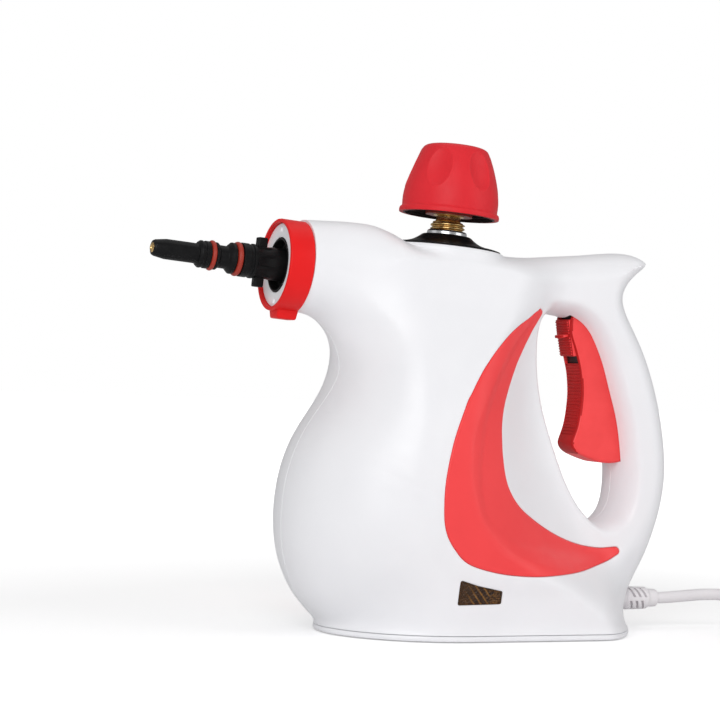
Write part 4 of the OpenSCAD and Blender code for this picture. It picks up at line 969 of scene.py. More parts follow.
def body_half(side):
    obj = body_solid(side, "vis_housing_left" if side < 0 else "vis_housing_right")
    cavity = cavity_solid(side)
    outward_from = lambda x, y, z: line_frame((x, y, z), (1, 0, 0), (0, side, 0))
    cut(cavity, join([drum(4.0, 0, 70, outward_from(x, -2.0 * side, z), 24)
                      for x, z in BOSSES]))
    cut(obj, cavity)
    # shoulder below the collar of the filler, kept to this half
    rim = turned(rounded([(26.6, 9.0), (31.1, 9.0), (31.1, 17.4), (31.0, 18.6, 1.5),
                          (30.2, 20.04, 1.2), (26.6, 20.04)], steps=5), filler, 192)
    y0, y1 = (-0.05, 60) if side < 0 else (-60, 0.05)
    cut(rim, block((-90, y0, 120), (60, y1, 260)))
    cut(rim, block((20, -6, 5), (36, 6, 17), filler))
    cut(obj, rim, "UNION")
    # flat seat on the base plate
    cut(obj, block((-150, -90, -40), (150, 90, 3.45)))
    # snout cut square to the nozzle; the ring and the disc close it
    cut(obj, drum(70, 80.3, 160, nozzle))
    cut(obj, drum(SNOUT_BORE, 66, 100, nozzle, 96))
    # filler: seat of the collar, then its hole
    cut(obj, drum(29.0, COLLAR_SEAT, 60, filler, 128))
    cut(obj, drum(26.4, 2, 40, filler, 128))
    cut(obj, prism([(PIVOT_X + x, PIVOT_Z + z) for x, z in TRIGGER_SLOT], TRIGGER_HALF + 0.35))
    # path of the cord
    cut(obj, drum(5.3, 76, 120, cord_line, 48))
    hole = COUNTERBORE if side > 0 else PILOT
    cut(obj, join([turned(hole, outward_from(x, 0, z), 24) for x, z in BOSSES]))
    dress(obj, WHITE, 30.0)


for side in (-1, 1):
    body_half(side)


# ---------------------------------------------------------------- red inlays
def inlay_panel(side):
    line = offset(even(INLAY, 0.7), -0.16)
    loops = [line] + [offset(line, -k) for k in (0.12, 0.3, 0.55, 0.9)]
    grid = hexgrid((-52, 30), (76, 172), FINE)
    to_crease, _ = line_dist(grid, CREASE_LINE, False)
    grid = grid[(signed(grid, line) < -1.3) & (to_crease > 0.5)]
    crease = even(CREASE_LINE, 0.9, False)
    crease = crease[signed(crease, line) < -1.4]
    flat, tris, ids = triangulate(loops, grid, lambda p: signed(p, line) < -1e-4, crease)
    height = base_height(flat)
    _, rim, _ = relief(flat)
    # scoop between the crease and the inner edge
    to_crease, _ = line_dist(flat, CREASE_LINE, False)
    to_inner, _ = line_dist(flat, inlay_inner, False)
    scooped = inside(flat, np.vstack([CREASE_LINE, inlay_inner[::-1]]))
    width = to_crease + to_inner
    t = np.where(scooped, to_crease / np.maximum(width, 1e-6), 0)
    scoop = np.where(scooped, 0.085 * width * 3.2 * t * (1 - t) ** 1.25, 0)
    top = 0.55 + rim * 0.62 - scoop * ease(1.5, 9, width)
    obj = plate(flat, tris, ids[:1], height + top + edge_drop(-signed(flat, line), 0.85),
                height - 1.15, side,
                "vis_side_panel_left" if side < 0 else "vis_side_panel_right")
    dress(obj, RED, 40.0)


for side in (-1, 1):
    inlay_panel(side)


# ---------------------------------------------------------------- amber lens
def lens():
    line = offset(even(LENS_LINE, 0.35), -0.14)
    loops = [line] + [offset(line, -k) for k in (0.1, 0.25, 0.5)]
    grid = hexgrid((-38, 18), (-12, 33), 0.3)
    grid = grid[signed(grid, line) < -0.65]
    flat, tris, ids = triangulate(loops, grid, lambda p: signed(p, line) < -1e-4)
    height = base_height(flat)
    depth = -signed(flat, line)
    # crossed prisms moulded into the face, inside a plain border
    pitch, relief_depth = 2.5, 0.42
    waves = []
    for lean in (1.15, -1.15):
        u = (flat[:, 0] + lean * flat[:, 1]) / pitch
        waves.append((np.abs(u - np.floor(u) - 0.5) * 2) ** 2.2)
    prisms = relief_depth * np.maximum(*waves)
    top = (height + 0.10 + edge_drop(depth, 0.35)
           - (relief_depth - prisms) * ease(0.7, 1.3, depth))
    obj = plate(flat, tris, ids[:1], top, height - 2.3, -1, "vis_indicator_lens")
    dress(obj, AMBER, 25.0)


lens()


# ---------------------------------------------------------------- base plate
# outset, z of the plate's edge from bottom to top
BASE_EDGE = [(-3.2, 0.35), (-1.0, 0.35), (-0.25, 0.6), (0.12, 1.3), (0.15, 2.2),
             (-0.02, 2.75), (-0.45, 3.1), (-1.4, 3.22), (-3.2, 3.22)]


def four_places(node, inset, narrow):
    """Four (x, y) inset from the box of a node, the rear pair narrower."""
    low, high = box_mm(node)
    y = high[1] - inset
    return [(x, side_y) for x, half in ((low[0] + inset, y), (high[0] - inset, y - narrow))
            for side_y in (-half, half)]


def base():
    xs = -87.2 + 169.8 * (0.5 - 0.5 * np.cos(np.pi * np.arange(181) / 180))
    y = base_height(np.stack([np.clip(xs, -87.19, 82.55), np.full(len(xs), 3.5)], 1))
    y[0] = y[-1] = 0.0
    half = np.stack([xs, y], 1)
    loop = np.vstack([half, (half * [1, -1])[::-1][1:-1]])
    loop = flare(np.stack([loop[:, 0], loop[:, 1], np.full(len(loop), 3.4)], 1))
    loop = even(loop[:, :2], 1.2)
    # smooth the two blunt ends a little
    for _ in range(2):
        loop = (np.roll(loop, 1, 0) + 2 * loop + np.roll(loop, -1, 0)) / 4
    rings = [np.column_stack([offset(loop, out), np.full(len(loop), z)]) for out, z in BASE_EDGE]
    obj = loft(rings, "vis_base_plate")
    disc = [(0, 0.02), (13.6, 0.02), (14.0, 0.3), (14.0, 1.0), (0, 1.0)]
    cut(obj, turned(disc, same, 96), "UNION")
    foot_well = [(0, -1), (6.7, -1), (6.7, 1.75), (0, 1.75)]
    screw_well = [(0, -1), (3.5, -1), (3.5, 1.62), (1.9, 1.62), (1.9, 9), (0, 9)]
    wells = []
    for profile, segments, places in (
            (foot_well, 48, four_places("rubber_feet", inset=6.4, narrow=2)),
            (screw_well, 32, four_places("base_screws", inset=3.2, narrow=3))):
        for x, y in places:
            wells.append(turned(profile, lambda p: p + [x, y, 0], segments))
    cut(obj, join(wells))
    dress(obj, WHITE, 30.0)


base()


# ---------------------------------------------------------------- nozzle
RING_BORE = 21.5
COLLAR_R = 21.25
JET_BORE = 2.0
TIP = 159.0             # forward end of the jet


def lock_ring():
    back, front, radius = 80.5, 93.5, 23.4
    profile = rounded([(radius, back, 0.5), (radius, front, 0.7), (RING_BORE, front, 0.35),
                       (RING_BORE, back, 0.3)], steps=5)
    obj = turned(profile, nozzle, 192, "vis_lock_ring")
    # the tab below tapers outward and its edges are soft
    tab = block((-27.0, -6.5, 79.9), (-21.9, 6.5, 91.2), nozzle)
    for vert in tab.data.vertices:
        at = np.array(vert.co) / MM
        local = at - CROSSING
        if local @ UP < -25:
            ahead = local @ FORWARD - 85.55
            vert.co = (at - FORWARD * ahead * 0.10 - ACROSS * local[1] * 0.16) * MM
    bevel(tab, 0.9, 4)
    cut(tab, drum(RING_BORE, 70, 100, nozzle, 192))
    cut(obj, tab, "UNION")
    cut(obj, block((22.4, -1.2, 91.7), (26, 1.2, 96), nozzle))
    dress(obj, RED_RING, 35.0, "lock_ring_body")


def bezel():
    profile = rounded([(14.1, 91.4, 0.25), (COLLAR_R, 91.4, 0.3), (COLLAR_R, 89.0, 0.2),
                       (18.4, 89.0, 0.1), (18.4, 85.1, 0.2), (14.1, 85.1, 0.2)])
    obj = turned(profile, nozzle, 160, "vis_nozzle_bezel")
    for angle in (0, math.pi):
        cut(obj, block((16.9, -1.7, 90.4), (19.6, 1.7, 93.0), spun(nozzle, angle), 0.35))
    dress(obj, WHITE, 35.0)


def snout_collar():
    """Inner collar of the snout that the ring turns on."""
    profile = rounded([(SNOUT_BORE, 70.0), (COLLAR_R, 70.0), (COLLAR_R, 88.9, 0.3),
                       (SNOUT_BORE, 88.9, 0.3)], steps=3)
    dress(turned(profile, nozzle, 96, "snout_collar"), WHITE, 35.0)


def nozzle_tube():
    jet, barrel = jet_mount["dims"]["r_mm"], 8.3
    profile = [
        (JET_BORE, 46.4), (5.0, 46.4, 0.3), (5.0, 84.0), (13.9, 84.0, 0.3), (13.9, 91.7, 0.35),
        (12.9, 91.7, 0.3), (12.3, 86.6, 0.6), (barrel, 86.6, 0.8), (barrel, 104.9, 0.15),
        (8.75, 105.2, 0.2), (8.75, 106.5, 0.2), (8.0, 106.8, 0.2), (8.0, 108.2, 0.2),
        (8.6, 108.5, 0.2), (8.6, 112.3, 0.35), (5.8, 112.3, 0.2), (5.8, 115.7, 0.2),
        (7.9, 115.8, 0.4), (7.9, 117.5, 0.5), (6.6, 118.9, 0.9), (5.75, 119.6, 0.8),
        (5.75, 123.8, 0.6), (6.9, 124.9, 0.35), (6.9, 126.2, 0.3), (5.2, 126.2, 0.2),
        (5.2, 129.0, 0.2), (6.9, 129.0, 0.3), (6.9, 131.4, 0.25), (6.4, 131.7, 0.15),
        (6.4, 132.6, 0.15), (6.9, 132.9, 0.25), (6.9, 133.8, 0.4), (6.0, 135.0, 0.4),
        (jet, 135.2, 0.2), (jet, 151.5, 1.6), (4.15, 157.2, 0.6), (3.55, TIP - 0.6, 0.5),
        (2.65, TIP - 0.6, 0.25), (2.65, 150.0), (JET_BORE, 150.0)]

    def shape(r, z, angle):
        # eight panels let into the barrel behind the rear seal, between lengthwise ribs
        turn = (angle - math.radians(22.5) + math.pi / 8) % (math.pi / 4) - math.pi / 8
        along = ease(97.6, 98.1, z) * (1 - ease(104.1, 104.6, z))
        panel = ease(0.75, 1.15, np.abs(turn) * barrel) * along * (np.abs(r - barrel) < 0.08)
        r = r - 0.8 * panel
        # faint lengthwise flats on the jet
        on_jet = (np.abs(r - jet) < 0.12) * (z > 136)
        return r - 0.05 * on_jet * (0.5 + 0.5 * np.cos(angle * 16))

    obj = turned(refine(rounded(profile), 2.2), nozzle, 192, "vis_nozzle_tube", shape)
    # a slotted lug above and below
    for angle in (0, math.pi):
        place = spun(nozzle, angle)
        lug = block((7.2, -2.6, 98.9), (12.5, 2.6, 103.7), place, 0.55)
        cut(lug, block((10.2, -0.55, 97), (14, 0.55, 106), place))
        cut(obj, lug, "UNION")
    dress(obj, BLACK)


def nozzle_tip():
    profile = rounded([(0.85, 150.1), (2.6, 150.1, 0.1), (2.6, 158.3, 0.5), (1.9, TIP, 0.25),
                       (1.35, 158.9, 0.1), (0.85, 157.9, 0.15)])
    dress(turned(profile, nozzle, 64, "vis_nozzle_tip"), BRASS, 35.0)


def o_ring(name, radius, at, thick):
    t = np.linspace(0, 2 * np.pi, 25)[:-1]
    profile = np.stack([radius + thick * np.cos(t), at + thick * np.sin(t)], 1)
    dress(turned(profile, nozzle, 160, name), RED_RUBBER, 60.0)


lock_ring()
bezel()
snout_collar()
nozzle_tube()
nozzle_tip()
o_ring("vis_o_ring_front", radius=6.42, at=127.6, thick=1.22)
o_ring("vis_o_ring_rear", radius=7.25, at=114.0, thick=1.46)


# ---------------------------------------------------------------- filler, cap
NECK_R = 10.7
CAP_BASE = 36.3         # rim of the cap, up the filler axis


def filler_trim():
    top = spline([(28.75, 20.9), (26.5, 21.5), (22.5, 22.15), (18.2, 23.4), (15.0, 25.2),
                  (13.1, 26.7)], 6, False)
    profile = [(11.1, 20.1), (24.6, 20.1), (24.6, 17.6, 0.3), (26.2, 17.6, 0.3), (26.2, 20.12),
               (28.7, 20.12, 0.2)] + [tuple(p) for p in top]
    profile += [(12.4, 27.1, 0.3), (11.5, 27.1, 0.3), (11.1, 26.4)]
    obj = turned(rounded(profile), filler, 192, "vis_filler_trim")
    dress(obj, BLACK, 40.0)


def filler_neck():
    profile = rounded([
        (9.32, -34), (NECK_R, -34, 0.3), (NECK_R, -21.9), (12.9, -21.9), (12.9, -16.9),
        (NECK_R, -16.9), (NECK_R, 27.0, 0.2), (10.45, 27.3, 0.2), (10.45, 28.6, 0.5),
        (10.0, 29.5, 0.3), (9.5, 29.5, 0.15)])
    dress(turned(profile, filler, 160, "vis_filler_neck"), SILVER, 35.0)


def cap_shell():
    """The cap; its profile is measured from its rim."""
    rim = [(26.0, 0.0, 0.5), (26.2, 2.5, 0.8), (25.9, 3.5, 0.5), (25.1, 4.2, 0.4),
           (24.9, 4.7, 0.3), (24.98, 7.4)]
    flank = spline([(25.0, 7.0), (24.95, 10), (24.4, 14), (23.4, 18.6), (22.2, 23),
                    (20.7, 27.5), (18.95, 31.7), (17.9, 34.1)], 8, False)
    crown = spline([(17.6, 34.7), (16.6, 36.2), (14.9, 37.2), (12, 37.8), (6, 38.1),
                    (0, 38.2)], 6, False)
    inner = [(0, 35.6), (12, 35.4), (14.3, 34.2, 0.6), (15.6, 32.4, 0.5), (17.2, 29),
             (18.9, 24.4), (20.6, 18.6), (21.8, 12.6), (22.2, 8), (22.2, 3, 0.3),
             (23.6, 2.4, 0.3), (23.6, 0.0, 0.4)]
    points = np.vstack([rounded(rim)[:-1], flank, crown, rounded(inner, steps=3)])
    # drop doubled points
    keep = [0]
    for i in range(1, len(points)):
        if np.hypot(*(points[i] - points[keep[-1]])) > 0.02:
            keep.append(i)
    phase = math.radians(-113 - 22)

    def shape(r, z, angle):
        """Six oval finger dimples, each with a faint raised edge, in the outer wall."""
        wall = r > np.interp(z, [0, 8, 13, 19, 25, 30.5, 34.8, 37, 38.3],
                             [24.3, 23.7, 23.2, 22.0, 20.2, 18.2, 15.8, 10, 0])
        turn = (angle - phase + math.pi / 6) % (math.pi / 3) - math.pi / 6
        across = turn * (r - 0.2) / 6.5
        up = (z - 24.2) / 10.0
        q = across * across + up * up
        with np.errstate(invalid="ignore"):
            dimple = np.where((q < 1) & wall, (1 - q) ** 0.9 * 2.1, 0)
        lip = np.where(wall, 0.12 * np.exp(-((np.sqrt(q) - 1.05) / 0.06) ** 2), 0)
        return r - dimple + lip

    obj = turned(refine(points[keep], 0.6), lambda p: filler(p + [0, 0, CAP_BASE]), 384,
                 "vis_cap_shell", shape)
    # three screw posts inside
    post = rounded([(1.45, 9.2, 0.2), (3.3, 9.2, 0.3), (3.3, 30.5), (0.0, 30.5), (0.0, 21),
                    (1.45, 21)], steps=3)
    for i in range(3):
        a = math.radians(120 * i + 30)
        shift = [15.2 * math.cos(a), 15.2 * math.sin(a), CAP_BASE]
        cut(obj, turned(post, lambda p: filler(p + shift), 40), "UNION")
    dress(obj, RED_CAP, 35.0, "cap_body")
    # the inside of the cap gets a dull, near-black painted shade
    obj.data.materials.append(PAINTED_SHADE_BLACK)
    centre = np.array([p.center for p in obj.data.polygons]) / MM - CROSSING
    height = centre @ UP - CAP_BASE
    r = np.linalg.norm(centre - np.outer(centre @ UP, UP), axis=1)
    wall = np.interp(height, [0, 2.4, 3, 8, 13, 19, 25, 30.5, 34.8, 36.5],
                     [23.9, 23.9, 23.0, 22.8, 22.1, 20.8, 19.0, 16.9, 14.5, 0])
    for face, dark in zip(obj.data.polygons, (r < wall) & (height < 36.5) & (height > 0.25)):
        face.material_index = 1 if dark else 0


def cap_plug():
    """Brass plug with its screw thread cut as a true helix."""
    pitch, start, end = 2.0, 20.3, 33.9
    crest, root = 9.0, 7.95
    phases = np.array([0.0, 0.18, 0.62, 0.80, 1.18, 1.36, 1.80, 2.0]) / pitch
    radii = np.array([root, root + 0.06, crest - 0.12, crest, crest, crest - 0.12,
                      root + 0.06, root])
    thread_z = np.arange(start, end + 1e-6, pitch / 26)
    below = [(2.4, 19.4), (6.6, 19.4), (7.2, 19.7), (7.6, 20.1)]
    above = [(7.7, 34.05), (6.6, 34.5), (6.4, 34.9), (6.4, 36.7), (6.7, 37.0), (8.1, 37.3),
             (8.1, 39.4), (12.0, 39.4), (12.2, 39.6), (12.2, 42.2), (12.0, 42.4), (9.8, 42.4),
             (9.8, 54.0), (9.4, 54.3), (5.0, 54.3), (5.0, 30.0), (2.4, 30.0)]
    thread = np.stack([np.full(len(thread_z), root), thread_z], 1)

    def shape(r, z, angle):
        phase = ((z - start) / pitch - angle / (2 * math.pi)) % 1.0
        cut_r = np.interp(phase, phases, radii)
        fade = ease(start, start + 1.2, z) * (1 - ease(end - 0.9, end, z))
        threaded = (z >= start - 1e-6) & (z <= end + 1e-6) & (np.abs(r - root) < 1e-6)
        return np.where(threaded, root - 0.1 + (cut_r - root + 0.1) * fade, r)

    obj = turned(np.vstack([below, thread, above]), filler, 144, "vis_cap_plug", shape)
    dress(obj, BRASS, 40.0, "cap_body")


filler_trim()
filler_neck()
cap_shell()
cap_plug()


# ---------------------------------------------------------------- trigger
POCKET_DEPTH = 3.4
POCKET_LOW, POCKET_HIGH = -24.4, 5.6    # ends of the lock slide's pocket, up its face
SIDE_ROUND = 1.7
# x, z of the faces of the trigger
TRIGGER_FRONT = [
    (44.9, 165.6), (44.7, 160.5), (45.4, 156), (47.9, 149.5), (50.2, 142.5), (51.9, 135),
    (52.7, 125), (51.9, 115), (50.6, 108), (48.6, 102.2), (47.9, 99.6), (48.4, 97.4),
    (50.2, 95.2), (53.6, 93.2), (60, 90.9), (66, 89.4), (73, 89.2), (79.2, 90.3)]
TRIGGER_REAR = [(80.9, 91.2), (81.1, 93.5), (80.9, 97), (79, 112), (74, 128), (68.5, 144),
                (62, 158), (59.2, 166.0)]
TRIGGER_TOP = [(57.6, 168.2), (54, 168.6), (48, 168.2), (46.0, 167.6)]
GROOVED = [(49.9, 143.4), (51.9, 135), (52.7, 125), (51.9, 115), (50.6, 108), (48.9, 103)]
ARM = [(45.9, 165.5), (46.6, 188.6), (52, 188.6), (54, 182), (56.4, 176), (57.8, 165.5)]
HOLLOW = [(57.5, 142), (58.5, 125), (58, 112), (58, 100), (61, 95), (90, 95), (86, 110),
          (78, 130), (70, 146), (64, 152)]


def paint_trigger_shade(obj):
    """Painted shade: darker red on the faces towards the nozzle, near black on the floor of the
    pocket.
    """
    obj.data.materials.append(RED_FRONT_SHADE)
    obj.data.materials.append(PAINTED_SHADE_BLACK)
    centre = np.array([p.center for p in obj.data.polygons]) / MM - LOCK_AT
    for face, x, z in zip(obj.data.polygons, centre @ LOCK_IN, centre @ LOCK_UP):
        y = abs(face.center.y)
        if (abs(x - POCKET_DEPTH) < 0.1 and POCKET_LOW - 0.1 < z < POCKET_HIGH + 0.1
                and y < 7.7 * MM):
            face.material_index = 2
        elif face.normal.x < -0.45 and y < 8.9 * MM and face.center.x < 56 * MM:
            face.material_index = 1


def trigger_solid():
    outline = even(np.vstack([spline(TRIGGER_FRONT, 8, False), TRIGGER_REAR, TRIGGER_TOP]), 0.7)
    angles = [math.pi / 2 * k / 5 for k in range(6)]
    ys = [TRIGGER_HALF - SIDE_ROUND + SIDE_ROUND * math.sin(a) for a in angles]
    rings = [offset(outline, -SIDE_ROUND * (1 - math.cos(a))) for a in angles]
    inner = rings[-1]
    grid = hexgrid((44, 88), (82, 169), 2.2)
    grid = grid[signed(grid, inner) < -1.0]
    flat, tris, ids = triangulate([inner], grid, lambda p: inside(p, inner))
    verts, faces, layers = [], [], {}
    total, count = 0, len(outline)
    for side in (-1, 1):
        for k in range(5):
            verts.append(lift(rings[k], side * ys[k]))
            layers[side, k] = range(total, total + count)
            total += count
        verts.append(lift(flat, side * TRIGGER_HALF))
        layers[side, 5] = [total + i for i in ids[0]]
        faces += [tuple(total + k for k in t[::side]) for t in tris.tolist()]
        total += len(flat)
    for side in (-1, 1):
        for k in range(5):
            faces += band(layers[side, k], layers[side, k + 1])
    faces += band(layers[-1, 0], layers[1, 0])
    return make(np.vstack(verts), faces, "vis_trigger")


def grip_grooves():
    """Tools for the grooves across the front below the lock slide."""
    line = even(spline(GROOVED, 12, False), 0.1, False)
    out = right_of(line)
    run = run_length(line)
    # along the face, out of the face
    section = [(-0.62, 0.9), (0.62, 0.9), (0.36, -0.34), (0.18, -0.46), (-0.18, -0.46),
               (-0.36, -0.34)]
    tools = []
    for at in np.arange(1.0, run[-1] - 0.8, 1.78):
        i = int(np.argmin(np.abs(run - at)))
        along = np.array([-out[i][1], out[i][0]])
        tools.append(prism([line[i] + out[i] * v + along * u for u, v in section], 7.7))
    return join(tools)


def trigger():
    obj = trigger_solid()
    cut(obj, grip_grooves())
    # upper arm and its pivot eye, inside the handle
    cut(obj, prism(ARM, 3.9), "UNION")
    cut(obj, drum(2.05, -20, 20, line_frame((PIVOT_X, 0, PIVOT_Z), (1, 0, 0), (0, 1, 0)), 48))
    # pocket of the lock slide, open to the front, and the hollow back
    cut(obj, block((-5, -7.6, POCKET_LOW), (POCKET_DEPTH, 7.6, POCKET_HIGH), lock_place))
    cut(obj, prism(HOLLOW, 7.2))
    paint_trigger_shade(dress(obj, RED_TRIG, body="trigger_body"))


def trigger_lock():
    slide = block((-0.7, -7.35, -20.0), (3.0, 7.35, -0.4), lock_place, 0.45)
    ribs = [block((-1.3, -6.7, z), (-0.3, 6.7, z + 0.78), lock_place, 0.2, 2)
            for z in np.arange(-19.1, -1.2, 1.42) if not -10.5 < z < -7.8]
    for rib in ribs:
        cut(slide, rib, "UNION")
    # thumb tab: a flat fin with a round nose
    half = 4.6
    nose = [(-1.0 - 4.4 * math.sin(math.pi * k / 22) ** 0.8, -half * math.cos(math.pi * k / 22))
            for k in range(23)]
    outline = np.array([(0.4, -half)] + nose + [(0.4, half)])
    levels = [(-0.4, -9.5), (-0.1, -9.4), (0, -9.15), (0, -8.4), (-0.1, -8.15), (-0.4, -8.05)]
    fin = loft([np.column_stack([offset(outline, out), np.full(len(outline), z)])
                for out, z in levels], place=lock_place)
    obj = join([slide, fin], "vis_trigger_lock")
    paint_trigger_shade(dress(obj, RED_TRIG, body="lock_slide_body"))


trigger()
trigger_lock()


# ---------------------------------------------------------------- cord, strain relief, plug
PLUG_CORD_Z = 7.5       # height at which the cord enters the plug


def strain_relief():
    start, end = (corner[0] for corner in box_mm("strain_relief"))
    sleeve = start + 2.0
    profile = rounded([
        (3.2, start), (6.5, start, 0.3), (6.5, start + 1.1, 0.3), (5.2, start + 1.1),
        (5.2, sleeve + 7.0), (5.6, sleeve + 7.6, 0.5), (6.2, sleeve + 8.6, 0.8),
        (5.95, end - 6.6, 1.2), (5.0, end - 5.2, 0.6), (4.7, end, 0.6), (3.6, end, 0.3),
        (3.2, end - 0.3)])
    obj = turned(refine(profile, 2.0), cord_line, 96, "vis_strain_relief")
    # slanted slots, two rows of three to each side
    tools = []
    for row in (52, 128, 232, 308):
        place = spun(cord_line, math.radians(row))
        for k in range(3):
            at = sleeve + 10.7 + k * 3.5

            def slanted(p):
                return place(np.column_stack([p[:, :2], at + (p[:, 2] + 0.42 * p[:, 1])]))

            tools.append(block((3.9, -2.9, -0.75), (8.0, 2.9, 0.75), slanted))
    cut(obj, tools)
    dress(obj, CORD)


def sweep(path, radius, segments, name):
    """Round tube along a path with frames carried without twist."""
    path = np.asarray(path, float)
    tangent = unit_rows(np.gradient(path, axis=0))
    u = unit(np.cross(tangent[0], [0, 0, 1.0]))
    angle = (np.arange(segments) * 2 * math.pi / segments)[:, None]
    rings = []
    for point, along in zip(path, tangent):
        u = unit(u - (u @ along) * along)
        rings.append(point + radius * (np.cos(angle) * u + np.sin(angle) * np.cross(along, u)))
    return loft(rings, name)


def cord():
    radius, bend, lift_z, turn, loop_x = 3.15, 40.0, 1.6, 26.0, 189.43
    rest_z = 3.2
    top_z = CORD_Z + lift_z
    dip = top_z - rest_z
    dip_angle = math.acos(1 - dip / (2 * bend))
    bend_x = loop_x - 2 * bend * math.sin(dip_angle)
    # out of the body, up a little, down to the floor in an S, and round half a turn
    path = [(x, 0, CORD_Z) for x in np.linspace(61.5, 107, 30)]
    path += [(x, 0, CORD_Z + lift_z * float(ease(0, 32, x - 108)))
             for x in np.linspace(108, 139, 20)]
    path += [(bend_x + bend * math.sin(a), 0, top_z - bend + bend * math.cos(a))
             for a in np.linspace(0, dip_angle, 16)]
    path += [(loop_x - bend * math.sin(a), 0, top_z - dip + bend - bend * math.cos(a))
             for a in np.linspace(dip_angle, 0, 16)[1:]]
    path += [(loop_x + turn * math.sin(a), -turn + turn * math.cos(a),
              rest_z + (PLUG_CORD_Z - rest_z) * float(ease(0.3, 1, a / math.pi)))
             for a in np.linspace(0, math.pi, 48)[1:]]
    path += [(loop_x - 4 * k / 3, -2 * turn, PLUG_CORD_Z) for k in (1, 2, 3)]
    dress(sweep(path, radius, 32, "vis_power_cord"), CORD, 60.0)


def plug():
    low, high = box_mm("plug_body")
    mid_y, mid_z = (low[1] + high[1]) / 2, (low[2] + high[2]) / 2
    face = low[0]
    # x, half width, half height, exponent of the rounded section
    sections = np.array([
        (face, 14.6, 6.6, 3.2), (face + 0.7, 15.6, 7.3, 3.4), (face + 3, 16.0, 7.5, 3.6),
        (face + 9, 15.8, 7.5, 3.4), (face + 14, 14.2, 7.3, 3.0), (face + 19, 11.2, 6.9, 2.6),
        (face + 23.5, 8.2, 6.3, 2.3), (face + 24.6, 7.2, 5.7, 2.2), (face + 25.6, 5.6, 5.0, 2.0),
        (face + 27, 4.8, 4.8, 2.0), (high[0] - 0.8, 4.6, 4.6, 2.0), (high[0], 4.0, 4.0, 2.0)])
    at = sections[:, 0]
    xs = np.concatenate([np.linspace(a, b, 5)[:-1] for a, b in zip(at, at[1:])] + [[at[-1]]])
    angle = np.arange(72) * 2 * math.pi / 72
    cos, sin = np.cos(angle), np.sin(angle)
    rings = []
    for x in xs:
        width, height, power = (np.interp(x, at, sections[:, k]) for k in (1, 2, 3))
        centre = mid_z + (PLUG_CORD_Z - mid_z) * ease(face + 14, face + 27, x)
        y = np.sign(cos) * np.abs(cos) ** (2 / power) * width
        z = np.sign(sin) * np.abs(sin) ** (2 / power) * height
        # grip grooves on the two flanks
        groove = 0.5 * math.exp(-((x - face - 10) / 3.5) ** 2) * (1 if int(x - face) % 2 else 0.3)
        rings.append(np.stack([np.full(72, x), mid_y + y * (1 - groove / width),
                               np.clip(centre + z, low[2] + 0.05, high[2])], 1))
    dress(loft(rings, "vis_plug_body"), CORD, 40.0)


strain_relief()
cord()
plug()


# ---------------------------------------------------------------- CAD nodes that keep their shape
FINISH = [
    (STEEL, "base_screws housing_screws boiler_bolts boiler_screws heating_element "
            "thermal_fuse hose_clamps valve_stem valve_spring trigger_pin trigger_spring "
            "cap_screws relief_poppet relief_spring plug_pins"),
    (BLACK_RUBBER, "rubber_feet neck_seal boiler_pads"),
    (RED_RUBBER, "boiler_gasket cap_gasket"),
    (ALUMINIUM, "boiler_upper boiler_lower heater_clamp"),
    (BLACK, "thermostat push_rod cap_carrier"),
    (BRASS, "valve_body relief_retainer"),
    (LAMP, "indicator_lamp"), (CREAM, "safety_thermostat"), (CORD, "terminal_block"),
    (BLUE, "wires"), (SILICONE, "steam_hose"), (WHITE, "cord_clamp"),
]
for mat, names in FINISH:
    for name in names.split():
        mesh = frame["nodes"][name].data
        mesh.materials.clear()
        mesh.materials.append(mat)

# objects of the default scene, if it was loaded
for obj in list(bpy.context.scene.objects):
    if obj.name in ("Cube", "Light", "Camera"):
        bpy.data.objects.remove(obj)


# ---------------------------------------------------------------- camera, light, floor
def camera():
    """Long lens, level, from the left and a little to the front, slightly rolled."""
    heading, roll = math.radians(23.0), math.radians(2.1)
    look = np.array([math.sin(heading), math.cos(heading), 0.0])
    level = np.array([math.cos(heading), -math.sin(heading), 0.0])
    upright = np.array([0.0, 0.0, 1.0])
    aim, distance = np.array([-72.0, 0.0, 139.3]), 1200.0
    at = (aim - distance * look) * MM
    c, s = math.cos(roll), math.sin(roll)
    right, top = c * level + s * upright, -s * level + c * upright
    data = bpy.data.cameras.new("camera")
    obj = bpy.data.objects.new("camera", data)
    bpy.context.scene.collection.objects.link(obj)
    obj.matrix_world = Matrix([(right[i], top[i], -look[i], at[i]) for i in range(3)]
                              + [(0, 0, 0, 1)])
    data.sensor_width = 36.0
    data.lens = 117.0
    data.clip_start, data.clip_end = 0.05, 20.0
    bpy.context.scene.camera = obj


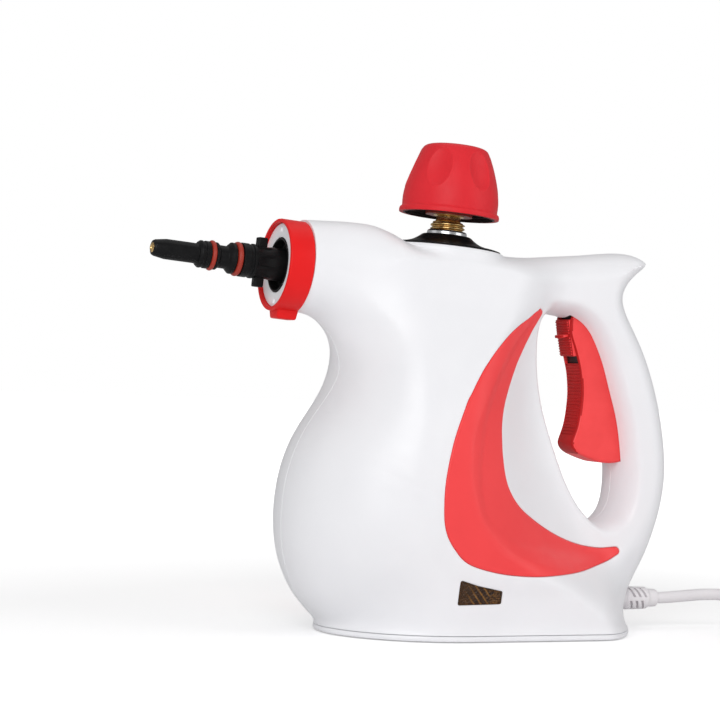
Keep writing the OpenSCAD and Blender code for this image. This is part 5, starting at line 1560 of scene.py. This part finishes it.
def floor():
    m = Nodes("floor")
    drift = m.noise(scale=3.0)
    # seen by the camera it is lit to white, more so away from the object
    length = m.new("ShaderNodeVectorMath", operation="LENGTH")
    m.feed(length.inputs[0], m.coord)
    seen = m.new("ShaderNodeLightPath").outputs["Is Camera Ray"]
    far = m.ramp(length.outputs["Value"], span=(0.25, 1.2), to=(0.34, 0.95))
    glow = m.math("MULTIPLY", seen, far)
    m.put(Base_Color=m.mix(m.ramp(drift), (0.93, 0.93, 0.935), (0.915, 0.915, 0.92)),
          Roughness=0.7, Specular_IOR_Level=0.2, Emission_Color=(1.0, 1.0, 1.0),
          Emission_Strength=glow)
    half, cells, z = 6.0, 24, -0.0002       # metres
    row = cells + 1
    verts = [(-half + 2 * half * i / cells, -half + 2 * half * j / cells, z)
             for i in range(row) for j in range(row)]
    faces = [(i * row + j, (i + 1) * row + j, (i + 1) * row + j + 1, i * row + j + 1)
             for i in range(cells) for j in range(cells)]
    mesh = bpy.data.meshes.new("floor")
    mesh.from_pydata(verts, [], faces)
    mesh.materials.append(m.mat)
    obj = bpy.data.objects.new("floor", mesh)
    bpy.context.scene.collection.objects.link(obj)


def world():
    """Soft even light; the camera itself sees pure white."""
    studio = bpy.data.worlds.new("studio")
    bpy.context.scene.world = studio
    studio.use_nodes = True
    nodes, links = studio.node_tree.nodes, studio.node_tree.links
    light = nodes["Background"]
    backdrop = nodes.new("ShaderNodeBackground")
    for background, strength in ((light, 0.33), (backdrop, 1.0)):
        background.inputs["Color"].default_value = (1.0, 1.0, 1.0, 1.0)
        background.inputs["Strength"].default_value = strength
    path = nodes.new("ShaderNodeLightPath")
    mix = nodes.new("ShaderNodeMixShader")
    links.new(path.outputs["Is Camera Ray"], mix.inputs[0])
    links.new(light.outputs[0], mix.inputs[1])
    links.new(backdrop.outputs[0], mix.inputs[2])
    links.new(mix.outputs[0], nodes["World Output"].inputs["Surface"])


def area(name, away, size, power):
    """Area light, away from and facing the middle of the object, in metres."""
    data = bpy.data.lights.new(name, "AREA")
    data.shape = "RECTANGLE"
    data.size, data.size_y = size
    data.energy = power
    obj = bpy.data.objects.new(name, data)
    bpy.context.scene.collection.objects.link(obj)
    obj.location = Vector((-0.02, 0.0, 0.12)) + Vector(away)
    obj.rotation_mode = "QUATERNION"
    obj.rotation_quaternion = (-Vector(away)).to_track_quat("-Z", "Y")


camera()
floor()
world()
area("key", away=(-0.92, -1.40, 0.70), size=(1.2, 1.2), power=15.6)
area("fill_right", away=(1.2, -1.1, 0.6), size=(1.0, 1.2), power=6.0)
area("top", away=(0.1, 0.2, 1.5), size=(1.4, 1.4), power=4.2)
area("rim_left", away=(-1.4, 0.35, 0.5), size=(0.8, 1.2), power=1.4)
bpy.context.scene.view_settings.view_transform = "Standard"
bpy.context.scene.view_settings.look = "None"
